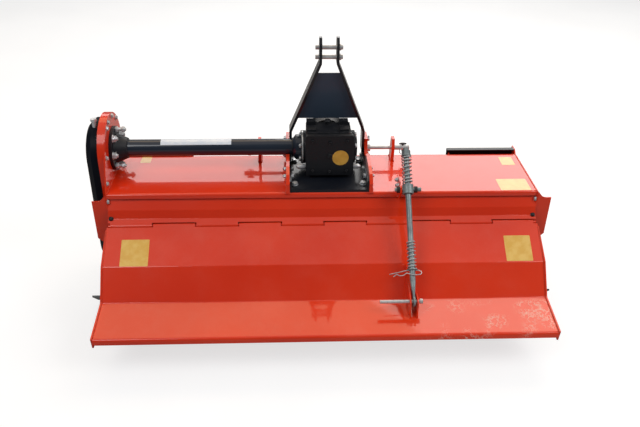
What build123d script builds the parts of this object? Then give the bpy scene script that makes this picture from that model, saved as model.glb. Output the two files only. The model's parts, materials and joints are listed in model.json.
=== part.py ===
from build123d import *
import math
import os

# Rotary tiller for a three-point hitch, with side gear drive. Millimetres.
# X runs to the right seen from behind, Y runs forward to the tractor, Z is up.
# The working frame has Y = 0 at the deck's rear edge and Z = 0 on the ground.
# At the end everything moves so that the origin is at the footprint's middle.

# Hood
HOOD_WIDTH = 1880.0
DECK_HEIGHT = 560.0
DECK_DEPTH = 361.0
HOOD_SHEET = 5.0
HOOD_BEND = 6.0
LIP_HEIGHT = 22.0
FRONT_SLOPE_RUN = 79.0
FRONT_SLOPE_DROP = 130.0
FRONT_SKIRT = 100.0
SIDE_PLATE = 6.0
SIDE_FOOT_HEIGHT = 60.0
SIDE_FOOT_REAR = 0.0
SIDE_FOOT_FRONT = 350.0
SIDE_REAR_STEP = 60.0
HORN_LOW_PROUD = 14.0
HORN_TOP_PROUD = 10.0
HORN_TOP_BACK = 20.0

# Rear panel of the hood: set-back under the lip and the heights of its folds below the deck
PANEL_SET_BACK = 12.0
PANEL_TOP_GAP = 2.0
PANEL_FOLD_1 = (-18.0, 68.0)
PANEL_FOLD_2 = (-30.0, 103.0)

# Tailboard hinge
HINGE_Y = -51.0
HINGE_DROP = 128.0
HINGE_ROD_RADIUS = 6.0
HINGE_EYE_RADIUS = 11.0
HINGE_EYE_WIDTH = 180.0
HINGE_SIDE_GAP = 5.0
HINGE_ROUND_GAP = 4.0
HINGE_EYE_PLACES = (-835.0, -465.0, -95.0, 275.0, 645.0)

# Tailboard: folds as distances behind the hinge and below it
TAIL_SHEET = 4.0
TAIL_BEND = 8.0
TAIL_FOLD_1 = (164.0, 97.0)
TAIL_FOLD_2 = (256.0, 217.0)
TAIL_EDGE = (452.0, 244.0)
TAIL_LIP = 24.0
TAIL_LIP_TUCK = 3.0
TAIL_OVERLAP = 9.0
TAIL_GUSSET = 6.0
TAIL_GUSSET_PROUD = 6.0
TAIL_GUSSET_DEEP = 45.0
TAIL_GUSSET_START = 22.0

# Rear wings on the side plates
WING_REACH = 60.0
WING_SHOULDER = 24.0
WING_DROP = 28.0
WING_STRAIGHT = 215.0
WING_LENGTH = 275.0
WING_BACK = 2.0
WING_PLATE = 6.0
WING_FILLET = 22.0

# Rotor
ROTOR_Y = 170.0
ROTOR_HEIGHT = 245.0
TINE_RADIUS = 235.0
ROTOR_TUBE_RADIUS = 42.0
ROTOR_END_GAP = 20.0
STUB_RADIUS = 25.0
STUB_HOLE_GAP = 5.0
STUB_SEAT = 23.0
SHAFT_END_GAP = 2.0
FLANGE_COUNT = 8
FLANGE_RADIUS = 95.0
FLANGE_PLATE = 10.0
FLANGE_END_GAP = 6.0
TINES_PER_FLANGE = 6
TINE_PHASE_STEP = 7.5
TINE_PLATE = 7.0
TINE_WIDTH = 42.0
TINE_REACH = 100.0
TINE_BEND = 26.0
TINE_ROOT = 56.0
TINE_SWEEP = 30.0
TINE_SHANK = 70.0
TINE_KNEE = 50.0
TINE_KNEE_SWEEP = 6.0
TINE_HEEL = 12.0
TINE_TIP_FALL = 6.0

# Rotor bearing on the right
BEARING_FLANGE_RADIUS = 78.0
BEARING_FLANGE = 12.0
BEARING_HUB_RADIUS = 52.0
BEARING_END_RADIUS = 46.0
BEARING_DEPTH = 44.0
BEARING_SEAT = 32.0

# Running fits
FIT_GAP = 0.05
PIN_GAP = 0.3

# Side gear drive
TUBE_Y = 230.0
TUBE_RISE = 110.0
TUBE_RADIUS = 37.0
HEAD_RADIUS = 160.0
CASE_RIM = 27.0
CASE_FOOT_RADIUS = 118.0
COVER_INSET = 9.0
COVER_HEAD_DROP = 14.0
COVER_DEPTH = 58.0
COVER_CHAMFER = 26.0
DECK_CLEARANCE = 2.0
FLANGE_SEAT_CLEARANCE = 12.0
FLANGE_SEAT_PLATE = 14.0
BELL_LENGTH = 50.0
BELL_RADIUS = 66.0
BELL_LIP = 8.0
TUBE_COLLAR_RADIUS = 56.0
TUBE_COLLAR_LENGTH = 37.0
TUBE_COLLAR_TAPER = 14.0
TUBE_CLEARANCE = 6.0
PLUG_FORWARD = -50.0
PLUG_INSET = 22.0
PLUG_RADIUS = 9.0
PLUG_SUNK = 8.0
PLUG_LENGTH = 40.0
PLUG_HEAD_RADIUS = 14.0
PLUG_HEAD_RISE = 24.0
PLUG_HEAD = 12.0

# Gearbox and hitch, centred a little to the right
HITCH_X = 22.0
GEARBOX_HALF_WIDTH = 97.0
GEARBOX_REAR = 130.0
GEARBOX_FRONT = 305.0
GEARBOX_RISE = 226.0
HOUSING_CORNER = 12.0
GEARBOX_BREAK = 240.0
NOSE_RISE = 192.0
BOSS_INSETS = (21.0, 29.0)
BOSS_HALF_WIDTH = 20.0
BOSS_LENGTH = 32.0

# Bosses on the gearbox top: start forward of its rear face, rise above its top
BOSS_ROWS = ((8.0, 12.0), (76.0, 20.0))

# Gearbox covers and base
COVER_THICK = 24.0
COVER_RISE = 222.0
COVER_FOOT = 18.0
COVER_LEFT_PROUD = 4.0
COVER_RIGHT_PROUD = 12.0
COVER_CORNER = 10.0
CAP_PLATE = 24.0
CAP_CLEARANCE = 24.0
CAP_HUB_INSET = 26.0
CAP_HUB = 10.0
BASE_HALF_WIDTH = 172.0
BASE_PLATE = 12.0
BASE_REAR = 7.0
BASE_FRONT = 325.0
BASE_FLANGE_HEIGHT = 55.0
BASE_FLANGE = 8.0

# Power take-off shaft
PTO_RISE = 130.0
PTO_RADIUS = 17.4
PTO_GROOVE_DEPTH = 2.7
PTO_GROOVE_WIDTH = 9.0
PTO_LENGTH = 90.0
PTO_DEPTH = 40.0
PTO_SHOULDER = 12.0
PTO_BOSS_RADIUS = 52.0
PTO_BOSS = 14.0
GUARD_RADIUS = 78.0
GUARD_WALL = 4.0
GUARD_LENGTH = 84.0

# Three-point hitch, category 1
HITCH_PIN_Y = 305.0
HITCH_PIN_RISE = 66.0
MAST_HEIGHT = 460.0
TOP_PIN_STEP = 42.0
TOP_PIN_RADIUS = 9.5
TOP_PIN_Y = 240.0
HITCH_PIN_RADIUS = 11.0
HITCH_PIN_FREE = 70.0
HITCH_SHANK_RADIUS = 8.0
SHANK_NUT_RADIUS = 17.0
SHANK_NUT = 16.0
TOP_PIN_OVERHANG = 16.0
TOP_PIN_HEAD_PROUD = 4.0
TOP_PIN_HEAD = 8.0
BRACKET_PLATE = 15.0
EAR_CENTRE = 309.0
EAR_PLATE = 14.0
EAR_HEEL = 14.0
EAR_TOE = 54.0
EAR_REAR = (20.0, 6.0)
EAR_TOP_REAR = (6.0, 46.0)
EAR_TOP_FRONT = (26.0, 46.0)
EAR_FRONT = (38.0, 12.0)
MAST_BAR = 12.0
MAST_BEND_RADIUS = 10.0
MAST_INNER_GAP = 61.0
MAST_BEND_BELOW_PIN = 22.0
MAST_END_ABOVE_PIN = 45.0
MAST_BEND_RISE = 162.0
MAST_TAB_LENGTH = 103.0
MAST_LOW_Y = 309.0
MAST_TOP_WIDTH = 60.0
MAST_LOW_WIDTH = 70.0
MAST_TOP_CORNER = (18.0, 22.0)
MAST_GUARD_BELOW_BEND = 46.0
MAST_GUARD_ABOVE_BEND = 68.0
MAST_GUARD_SET_BACK = 14.0
MAST_GUARD_SHEET = 4.0

# Side brackets under the mast: outline corners as (Y, height above the deck)
BRACKET_HEEL = (-6.0, 46.0)
BRACKET_KNEE = (24.0, 78.0)
BRACKET_SHOULDER = (80.0, 90.0)
BRACKET_WAIST = 94.0
BRACKET_WAIST_BACK = 26.0
BRACKET_MARGIN_REAR = 6.0
BRACKET_MARGIN_FRONT = 4.0
BRACKET_STEP = 112.0
BRACKET_TOP = 128.0

# Front guards
FRONT_GUARD_INNER = 610.0
FRONT_GUARD_Y = 405.0
FRONT_GUARD_DROP = 31.0
FRONT_GUARD_HEIGHT = 46.0
FRONT_GUARD_LEG = 30.0
FRONT_GUARD_PLATE = 5.0
FRONT_GUARD_BEND = 4.0
GUARD_ARM_INSET = 10.0
GUARD_ARM_TOP = 40.0
GUARD_ARM_LENGTH = 70.0
GUARD_ARM_TIP = 20.0

# Skids
SKID_OUTER = 1045.0
SKID_PLATE = 8.0
SKID_REAR = -100.0
SKID_REAR_LIFT = 86.0
SKID_FLAT_REAR = -15.0
SKID_FLAT_FRONT = 318.0
SKID_FRONT = 420.0
SKID_FRONT_LIFT = 120.0
SKID_BEND = 40.0
SKID_LEG_HEIGHT = 255.0
SKID_LEG_WIDTH = 44.0
SKID_LEG_OVERHANG = 24.0
SKID_LEG_LEAN = 14.0
SKID_WEB_CORNER = 30.0
SKID_WEB_TOP = 34.0

# Tailboard rod and its swivel collar
ROD_X = 355.0
COLLAR_Y = -40.0
COLLAR_RISE = 37.0
ROD_PIN_BEHIND = 334.0
ROD_PIN_BELOW = 166.0
ROD_RADIUS = 12.0
ROD_TOP_REACH = 186.0
COLLAR_BORE = 17.0
COLLAR_RADIUS = 24.0
COLLAR_LENGTH = 40.0
TRUNNION_RADIUS = 9.0
TRUNNION_REACH = 56.0
TRUNNION_NUT_RADIUS = 14.0
TRUNNION_NUT = 12.0
TRUNNION_SHOULDER = 3.0
TRUNNION_SIDE_GAP = 1.0
COLLAR_EAR_PLATE = 8.0
COLLAR_EAR_GAP = 3.0
COLLAR_EAR_TOP = 15.0
COLLAR_EAR_REAR = (16.0, 6.0)
COLLAR_EAR_TOP_REAR = 10.0
COLLAR_EAR_TOP_FRONT = 12.0
COLLAR_EAR_FOOT = 50.0
COLLAR_EAR_KNEE = (12.0, 22.0)
COLLAR_EAR_HANG = 14.0
SPRING_WIRE = 3.0
UPPER_SPRING_RADIUS = 20.0
LOWER_SPRING_RADIUS = 16.5
UPPER_SPRING_LENGTH = 130.0
UPPER_SPRING_TURNS = 8
LOWER_SPRING_LENGTH = 120.0
LOWER_SPRING_TURNS = 8
LOWER_SPRING_END = 134.0
NUT_RADIUS = 19.0
NUT_HEIGHT = 22.0
WASHER_RADIUS = 22.0
WASHER = 4.0
ROD_FLAT = 8.0
ROD_FLAT_LENGTH = 30.0
ROD_TAPER = 60.0
ROD_EYE_RADIUS = 22.0
ROD_PIN_RADIUS = 7.5
ROD_PIN_LEFT = 140.0
ROD_PIN_RIGHT = 24.0
ROD_PIN_HEAD_RADIUS = 11.0
ROD_PIN_HEAD = 12.0
EAR_SPACE = 24.0
TAIL_EAR_PLATE = 6.0
TALL_EAR_START = 8.0
TALL_EAR_DEPTH = 26.0
SHORT_EAR_START = 96.0
TAIL_EAR_FOOT = 108.0
TAIL_EAR_ABOVE = (8.0, 18.0)
TAIL_EAR_BEHIND = (20.0, 6.0)

COIL_RUNS = 12
COIL_SIDES = 6

# Spring clip through the rod: its straight leg, its bow, and the other leg's waves
# as (beyond the rod's middle, below the leg)
CLIP_WIRE = 2.0
CLIP_OVERHANG = 14.0
CLIP_LEG = 84.0
CLIP_BOW = (8.0, 7.0)
CLIP_STAND_OFF = 2.0
CLIP_WAVES = ((-14.0, 24.0), (6.0, 26.0), (31.0, 12.0), (50.0, 19.0), (68.0, 9.0), (82.0, 15.0))

os.makedirs("parts", exist_ok=True)

HALF = HOOD_WIDTH / 2
INNER = HALF - SIDE_PLATE
HINGE_Z = DECK_HEIGHT - HINGE_DROP
UNDER_DECK = DECK_HEIGHT - HOOD_SHEET
TUBE_HEIGHT = DECK_HEIGHT + TUBE_RISE
FLANGE_SEAT_RADIUS = TUBE_RISE - FLANGE_SEAT_CLEARANCE
CAP_RADIUS = TUBE_RISE - BASE_PLATE - CAP_CLEARANCE
GEARBOX_TOP = DECK_HEIGHT + GEARBOX_RISE
COVER_TOP = DECK_HEIGHT + COVER_RISE
PTO_HEIGHT = DECK_HEIGHT + PTO_RISE
HITCH_PIN_HEIGHT = DECK_HEIGHT + HITCH_PIN_RISE
MAST_LOW_BEND = DECK_HEIGHT + MAST_BEND_RISE
TOP_PIN_LOW = HITCH_PIN_HEIGHT + MAST_HEIGHT
TOP_PIN_HIGH = TOP_PIN_LOW + TOP_PIN_STEP
MAST_TOP_BEND = TOP_PIN_LOW - MAST_BEND_BELOW_PIN
MAST_TOP_END = TOP_PIN_HIGH + MAST_END_ABOVE_PIN
MAST_GUARD_TOP = MAST_TOP_BEND - MAST_GUARD_BELOW_BEND
MAST_GUARD_LOW = MAST_LOW_BEND + MAST_GUARD_ABOVE_BEND
FRONT_GUARD_LOW = DECK_HEIGHT - FRONT_GUARD_DROP
parts = {}


def unit(v):
    length = math.hypot(v[0], v[1])
    return (v[0] / length, v[1] / length)


def along(p, d, t):
    return (p[0] + d[0] * t, p[1] + d[1] * t)


def offset_line(points, distance):
    # mitred offset of an open line, to the right of its direction of travel
    dirs = [unit((b[0] - a[0], b[1] - a[1])) for a, b in zip(points, points[1:])]
    out = []
    for i, p in enumerate(points):
        before = dirs[max(i - 1, 0)]
        after = dirs[min(i, len(dirs) - 1)]
        n0 = (before[1], -before[0])
        n1 = (after[1], -after[0])
        scale = distance / (1 + n0[0] * n1[0] + n0[1] * n1[1])
        out.append((p[0] + (n0[0] + n1[0]) * scale, p[1] + (n0[1] + n1[1]) * scale))
    return out


def sheet(points, thickness, bend):
    # folded sheet seen on edge: the given line is one skin, the other lies to its right
    other = offset_line(points, thickness)
    turns = []
    for a, b, c in zip(points, points[1:], points[2:]):
        turns.append((b[0] - a[0]) * (c[1] - b[1]) - (b[1] - a[1]) * (c[0] - b[0]))
    first = [bend if t > 0 else bend + thickness for t in turns]
    second = [bend + thickness if t > 0 else bend for t in turns]
    if turns:
        line_a = FilletPolyline(*points, radius=first)
        line_b = FilletPolyline(*other, radius=second)
    else:
        line_a = Line(*points)
        line_b = Line(*other)
    ends = [Line(points[0], other[0]), Line(points[-1], other[-1])]
    return make_face(line_a.edges() + line_b.edges() + ends)


def polygon(points):
    return make_face(Polyline(*points, close=True))


def across(face, x0, x1):
    # a (Y, Z) face drawn out between two X stations
    return extrude(Plane.YZ.offset(x0) * face, x1 - x0)


def disc(radius, x0, x1, y, z):
    return across(Pos(y, z) * Circle(radius), x0, x1)


def block(x0, x1, y0, y1, z0, z1):
    return Pos(x0, y0, z0) * Box(x1 - x0, y1 - y0, z1 - z0, align=(Align.MIN,) * 3)


def rising(radius, height):
    # cylinder standing on the origin
    return Cylinder(radius, height, align=(Align.CENTER, Align.CENTER, Align.MIN))


def turned(points, y, z):
    # (X, radius) profile turned about the line through (y, z) along X
    plane = Plane(origin=(0, y, z), x_dir=(1, 0, 0), z_dir=(0, -1, 0))
    return revolve(plane * polygon(points), Axis((0, y, z), (1, 0, 0)))


def add(name, *shapes):
    solids = [s for shape in shapes for s in shape.solids()]
    parts[name] = solids


# ---- hood ----
deck_line = [
    (0, DECK_HEIGHT - LIP_HEIGHT),
    (0, DECK_HEIGHT),
    (DECK_DEPTH, DECK_HEIGHT),
    (DECK_DEPTH + FRONT_SLOPE_RUN, DECK_HEIGHT - FRONT_SLOPE_DROP),
    (DECK_DEPTH + FRONT_SLOPE_RUN, DECK_HEIGHT - FRONT_SLOPE_DROP - FRONT_SKIRT),
]
hood_deck = across(sheet(deck_line, HOOD_SHEET, HOOD_BEND), -INNER, INNER)
add("hood_deck", hood_deck)

hinge = (HINGE_Y, HINGE_Z)
fold_1 = (PANEL_FOLD_1[0], DECK_HEIGHT - PANEL_FOLD_1[1])
fold_2 = (PANEL_FOLD_2[0], DECK_HEIGHT - PANEL_FOLD_2[1])
stripe = unit((fold_2[0] - hinge[0], fold_2[1] - hinge[1]))
panel_foot = along(hinge, (-stripe[1], stripe[0]), HINGE_EYE_RADIUS)
panel_line = [
    panel_foot,
    fold_2,
    fold_1,
    (PANEL_SET_BACK, DECK_HEIGHT - LIP_HEIGHT - PANEL_TOP_GAP),
    (PANEL_SET_BACK, UNDER_DECK),
]
rear_panel = across(sheet(panel_line, HOOD_SHEET, HOOD_BEND), -INNER, INNER)

eye = Pos(*hinge) * (Circle(HINGE_EYE_RADIUS) - Circle(HINGE_ROD_RADIUS))
loose_eye = Pos(*hinge) * (Circle(HINGE_EYE_RADIUS) - Circle(HINGE_ROD_RADIUS + PIN_GAP))
eye_room = Pos(*hinge) * Circle(HINGE_EYE_RADIUS + HINGE_ROUND_GAP)
rod_room = Pos(*hinge) * Circle(HINGE_ROD_RADIUS)
tail_half = INNER + TAIL_OVERLAP - TAIL_GUSSET
hood_eyes = [(x - HINGE_EYE_WIDTH / 2, x + HINGE_EYE_WIDTH / 2) for x in HINGE_EYE_PLACES]
tail_eyes = [(b + HINGE_SIDE_GAP, b + HINGE_SIDE_GAP + HINGE_EYE_WIDTH) for a, b in hood_eyes]


def with_eyes(shape, half, eye_face, places):
    # clears the sheet round the hinge except at its own eyes, which it is rolled into
    stations = [-half] + [v for place in places for v in place] + [half]
    for a, b in zip(stations[::2], stations[1::2]):
        shape -= across(eye_room, a, b)
    for a, b in places:
        shape += across(eye_face, a, b)
        shape -= across(rod_room, a, b)
    return shape


add("hood_rear_panel", with_eyes(rear_panel, INNER, eye, hood_eyes))
add("hinge_rod", disc(HINGE_ROD_RADIUS, -INNER, INNER, *hinge))

# ---- side plates, with the gear-case head on the left ----
front_foot = deck_line[-1]
side_outline = [
    (0, DECK_HEIGHT),
    (PANEL_FOLD_1[0] + HOOD_SHEET, fold_1[1]),
    (PANEL_FOLD_1[0] + HOOD_SHEET, HINGE_Z),
    (PANEL_FOLD_1[0] + HOOD_SHEET, ROTOR_HEIGHT - SIDE_REAR_STEP),
    (SIDE_FOOT_REAR, SIDE_FOOT_HEIGHT),
    (SIDE_FOOT_FRONT, SIDE_FOOT_HEIGHT),
    (front_foot[0], ROTOR_HEIGHT),
    (front_foot[0], deck_line[-2][1]),
    (FRONT_GUARD_Y + FRONT_GUARD_PLATE + HORN_LOW_PROUD, FRONT_GUARD_LOW),
    (FRONT_GUARD_Y + FRONT_GUARD_PLATE + HORN_TOP_PROUD, FRONT_GUARD_LOW + FRONT_GUARD_HEIGHT),
    (FRONT_GUARD_Y - HORN_TOP_BACK, FRONT_GUARD_LOW + FRONT_GUARD_HEIGHT),
    (DECK_DEPTH, DECK_HEIGHT),
]
side_face = polygon(side_outline)
stub_hole = Pos(ROTOR_Y, ROTOR_HEIGHT) * Circle(STUB_RADIUS + STUB_HOLE_GAP)
head_circle = Pos(TUBE_Y, TUBE_HEIGHT) * Circle(HEAD_RADIUS)
head_line = Line((0, DECK_HEIGHT), (DECK_DEPTH, DECK_HEIGHT))
head_face = make_hull(head_circle.edges() + [head_line])
side_plate_right = across(side_face - stub_hole, INNER, HALF)
side_plate_left = across(side_face + head_face - stub_hole, -HALF, -INNER)
add("side_plate_right", side_plate_right)
add("side_plate_left", side_plate_left)

wing_top = DECK_HEIGHT
wing_outline = [
    (HALF, wing_top),
    (HALF + WING_SHOULDER, wing_top - WING_DROP),
    (HALF + WING_REACH, wing_top - WING_DROP),
    (HALF + WING_REACH, wing_top - WING_STRAIGHT),
    (HALF, wing_top - WING_LENGTH),
]
wing_face = polygon(wing_outline)
wing_corner = wing_face.vertices().sort_by_distance((*wing_outline[1], 0))[0]
wing_face = fillet(wing_corner, WING_FILLET)
wing_plane = Plane(origin=(0, 0, 0), x_dir=(1, 0, 0), z_dir=(0, -1, 0))
wing = Pos(0, -WING_BACK, 0) * extrude(wing_plane * wing_face, WING_PLATE)
add("side_wings", wing, mirror(wing, about=Plane.YZ))

# ---- side gear case ----
def case_face(top, foot, drop=0):
    upper = Pos(TUBE_Y, TUBE_HEIGHT - drop) * Circle(top)
    lower = Pos(ROTOR_Y, ROTOR_HEIGHT) * Circle(foot)
    return make_hull(upper.edges() + lower.edges())


rim_out = HALF + CASE_RIM
case = across(case_face(HEAD_RADIUS, CASE_FOOT_RADIUS), -rim_out, -HALF)
case -= disc(STUB_RADIUS + FIT_GAP, -HALF - STUB_SEAT, -HALF, ROTOR_Y, ROTOR_HEIGHT)
add("gear_case", case)
cover_out = rim_out + COVER_DEPTH
cover_head = HEAD_RADIUS - COVER_INSET
cover_foot = CASE_FOOT_RADIUS - COVER_INSET
cover = across(case_face(cover_head, cover_foot, COVER_HEAD_DROP), -cover_out, -rim_out)
cover = chamfer(cover.faces().sort_by(Axis.X)[0].edges(), COVER_CHAMFER)
add("gear_case_cover", cover)
plug_y = TUBE_Y + PLUG_FORWARD
plug_rise = math.sqrt(cover_head ** 2 - PLUG_FORWARD ** 2)
plug_z = TUBE_HEIGHT - COVER_HEAD_DROP + plug_rise
plug_at = Pos(-rim_out - PLUG_INSET, plug_y, plug_z - PLUG_SUNK)
plug = plug_at * rising(PLUG_RADIUS, PLUG_LENGTH)
plug_head = extrude(RegularPolygon(PLUG_HEAD_RADIUS, 6), PLUG_HEAD)
plug += plug_at * Pos(0, 0, PLUG_SUNK + PLUG_HEAD_RISE) * plug_head
add("filler_plug", plug - cover)

bell_start = -INNER
bell_points = [
    (bell_start, 0),
    (bell_start, FLANGE_SEAT_RADIUS),
    (bell_start + FLANGE_SEAT_PLATE, FLANGE_SEAT_RADIUS),
    (bell_start + FLANGE_SEAT_PLATE, BELL_RADIUS),
    (bell_start + FLANGE_SEAT_PLATE + BELL_LENGTH, TUBE_RADIUS + BELL_LIP),
    (bell_start + FLANGE_SEAT_PLATE + BELL_LENGTH, 0),
]
add("tube_bell", turned(bell_points, TUBE_Y, TUBE_HEIGHT))
tube_start = bell_start + FLANGE_SEAT_PLATE + BELL_LENGTH
cap_left = HITCH_X - GEARBOX_HALF_WIDTH - CAP_PLATE
tube_points = [
    (tube_start, 0),
    (tube_start, TUBE_RADIUS),
    (cap_left - TUBE_COLLAR_LENGTH, TUBE_RADIUS),
    (cap_left - TUBE_COLLAR_LENGTH + TUBE_COLLAR_TAPER, TUBE_COLLAR_RADIUS),
    (cap_left, TUBE_COLLAR_RADIUS),
    (cap_left, 0),
]
add("drive_tube", turned(tube_points, TUBE_Y, TUBE_HEIGHT))

# ---- gearbox ----
box_left = HITCH_X - GEARBOX_HALF_WIDTH
box_right = HITCH_X + GEARBOX_HALF_WIDTH
box_low = DECK_HEIGHT + BASE_PLATE
housing_outline = [
    (GEARBOX_REAR, box_low),
    (GEARBOX_FRONT, box_low),
    (GEARBOX_FRONT, DECK_HEIGHT + NOSE_RISE),
    (GEARBOX_BREAK, GEARBOX_TOP),
    (GEARBOX_REAR, GEARBOX_TOP),
]
housing = across(polygon(housing_outline), box_left, box_right)
housing = fillet(housing.edges().filter_by(Axis.Z), HOUSING_CORNER)
for x in (box_left + BOSS_INSETS[0], box_right - BOSS_INSETS[1]):
    for start, rise in BOSS_ROWS:
        y = GEARBOX_REAR + start
        left, right = x - BOSS_HALF_WIDTH, x + BOSS_HALF_WIDTH
        housing += block(left, right, y, y + BOSS_LENGTH, GEARBOX_TOP, GEARBOX_TOP + rise)
pto_front = GEARBOX_FRONT + PTO_BOSS
front_plane = Plane(origin=(HITCH_X, GEARBOX_FRONT, PTO_HEIGHT), z_dir=(0, 1, 0))
housing += front_plane * rising(PTO_BOSS_RADIUS, PTO_BOSS)
bore_plane = Plane(origin=(HITCH_X, pto_front, PTO_HEIGHT), z_dir=(0, -1, 0))
housing -= bore_plane * rising(PTO_RADIUS + FIT_GAP, PTO_DEPTH + SHAFT_END_GAP)
add("gearbox_housing", housing)
cover_left = box_left - COVER_LEFT_PROUD
cover_right = box_right + COVER_RIGHT_PROUD
cover_low = box_low + COVER_FOOT
rear_cover = block(cover_left, cover_right, GEARBOX_REAR - COVER_THICK, GEARBOX_REAR, cover_low, COVER_TOP)
rear_cover = fillet(rear_cover.edges().filter_by(Axis.Y), COVER_CORNER)
add("gearbox_rear_cover", rear_cover)
cap_low = disc(CAP_RADIUS, cap_left, box_left, TUBE_Y, TUBE_HEIGHT)
cap_high = disc(CAP_RADIUS, box_right, box_right + CAP_PLATE, TUBE_Y, TUBE_HEIGHT)
hub_start = box_right + CAP_PLATE
cap_high += disc(CAP_RADIUS - CAP_HUB_INSET, hub_start, hub_start + CAP_HUB, TUBE_Y, TUBE_HEIGHT)
add("gearbox_side_caps", cap_low, cap_high)
base_left = HITCH_X - BASE_HALF_WIDTH
base_right = HITCH_X + BASE_HALF_WIDTH
base = block(base_left, base_right, BASE_REAR, BASE_FRONT, DECK_HEIGHT, box_low)
for a in (base_left, base_right - BASE_FLANGE):
    base += block(a, a + BASE_FLANGE, BASE_REAR, BASE_FRONT, box_low, DECK_HEIGHT + BASE_FLANGE_HEIGHT)
add("gearbox_base", base)

# ---- power take-off shaft and its guard ----
shaft_face = Circle(PTO_RADIUS)
for i in range(6):
    shaft_face -= Rot(0, 0, 60 * i) * Pos(PTO_RADIUS, 0) * Rectangle(2 * PTO_GROOVE_DEPTH, PTO_GROOVE_WIDTH)
pto_plane = Plane(origin=(HITCH_X, pto_front - PTO_DEPTH, PTO_HEIGHT), z_dir=(0, 1, 0))
shaft = extrude(pto_plane * Circle(PTO_RADIUS), PTO_DEPTH + PTO_SHOULDER)
spline_plane = Plane(origin=(HITCH_X, pto_front + PTO_SHOULDER, PTO_HEIGHT), z_dir=(0, 1, 0))
shaft += extrude(spline_plane * shaft_face, PTO_LENGTH - PTO_SHOULDER)
add("pto_shaft", shaft)
guard = extrude(front_plane * (Circle(GUARD_RADIUS) - Circle(PTO_BOSS_RADIUS)), GUARD_WALL)
guard_tube = Circle(GUARD_RADIUS) - Circle(GUARD_RADIUS - GUARD_WALL)
guard += extrude(front_plane * guard_tube, GUARD_LENGTH)
add("pto_guard", guard)

# ---- hitch brackets, mast, ears and pins ----
bracket_in = BASE_HALF_WIDTH
bracket_out = bracket_in + BRACKET_PLATE
mast_in_low = bracket_in - MAST_BAR
mast_in_top = MAST_INNER_GAP / 2
tab_low = MAST_LOW_BEND - MAST_TAB_LENGTH
top_pins = (TOP_PIN_LOW, TOP_PIN_HIGH)
bar_rear = MAST_LOW_Y - MAST_LOW_WIDTH / 2
bar_front = MAST_LOW_Y + MAST_LOW_WIDTH / 2
bracket_front = DECK_DEPTH - DECK_CLEARANCE
bracket_outline = [
    (BRACKET_HEEL[0], DECK_HEIGHT),
    (BRACKET_HEEL[0], DECK_HEIGHT + BRACKET_HEEL[1]),
    (BRACKET_KNEE[0], DECK_HEIGHT + BRACKET_KNEE[1]),
    (BRACKET_SHOULDER[0], DECK_HEIGHT + BRACKET_SHOULDER[1]),
    (bar_rear - BRACKET_WAIST_BACK, DECK_HEIGHT + BRACKET_WAIST),
    (bar_rear - BRACKET_MARGIN_REAR, DECK_HEIGHT + BRACKET_STEP),
    (bar_rear - BRACKET_MARGIN_REAR, DECK_HEIGHT + BRACKET_TOP),
    (bar_front + BRACKET_MARGIN_FRONT, DECK_HEIGHT + BRACKET_TOP),
    (bracket_front, HITCH_PIN_HEIGHT),
    (bracket_front, DECK_HEIGHT),
]
shank_hole = Pos(HITCH_PIN_Y, HITCH_PIN_HEIGHT) * Circle(HITCH_SHANK_RADIUS)
bracket_face = polygon(bracket_outline) - shank_hole
bracket_face -= Pos(TUBE_Y, TUBE_HEIGHT) * Circle(TUBE_RADIUS + TUBE_CLEARANCE)
bracket = across(bracket_face, bracket_in, bracket_out)
add("hitch_brackets", Pos(HITCH_X, 0, 0) * bracket, Pos(HITCH_X, 0, 0) * mirror(bracket, about=Plane.YZ))

bar_line = [
    (mast_in_low, tab_low),
    (mast_in_low, MAST_LOW_BEND),
    (mast_in_top, MAST_TOP_BEND),
    (mast_in_top, MAST_TOP_END),
]
bar_plane = Plane(origin=(0, MAST_LOW_Y + MAST_LOW_WIDTH, 0), x_dir=(1, 0, 0), z_dir=(0, -1, 0))
bar_run = MAST_LOW_Y - TOP_PIN_Y + 2 * MAST_LOW_WIDTH
bar = extrude(bar_plane * sheet(bar_line, MAST_BAR, MAST_BEND_RADIUS), bar_run)
top_rear = TOP_PIN_Y - MAST_TOP_WIDTH / 2
top_front = TOP_PIN_Y + MAST_TOP_WIDTH / 2
bar_outline = [
    (bar_rear, tab_low),
    (bar_front, tab_low),
    (bar_front, MAST_LOW_BEND),
    (top_front, MAST_TOP_BEND),
    (top_front, MAST_TOP_END - MAST_TOP_CORNER[1]),
    (top_front - MAST_TOP_CORNER[0], MAST_TOP_END),
    (top_rear + MAST_TOP_CORNER[0], MAST_TOP_END),
    (top_rear, MAST_TOP_END - MAST_TOP_CORNER[1]),
    (top_rear, MAST_TOP_BEND),
    (bar_rear, MAST_LOW_BEND),
]
bar_face = polygon(bar_outline)
for z in top_pins:
    bar_face -= Pos(TOP_PIN_Y, z) * Circle(TOP_PIN_RADIUS)
bar &= across(bar_face, 0, bracket_out)
add("mast_bars", Pos(HITCH_X, 0, 0) * bar, Pos(HITCH_X, 0, 0) * mirror(bar, about=Plane.YZ))

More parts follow.
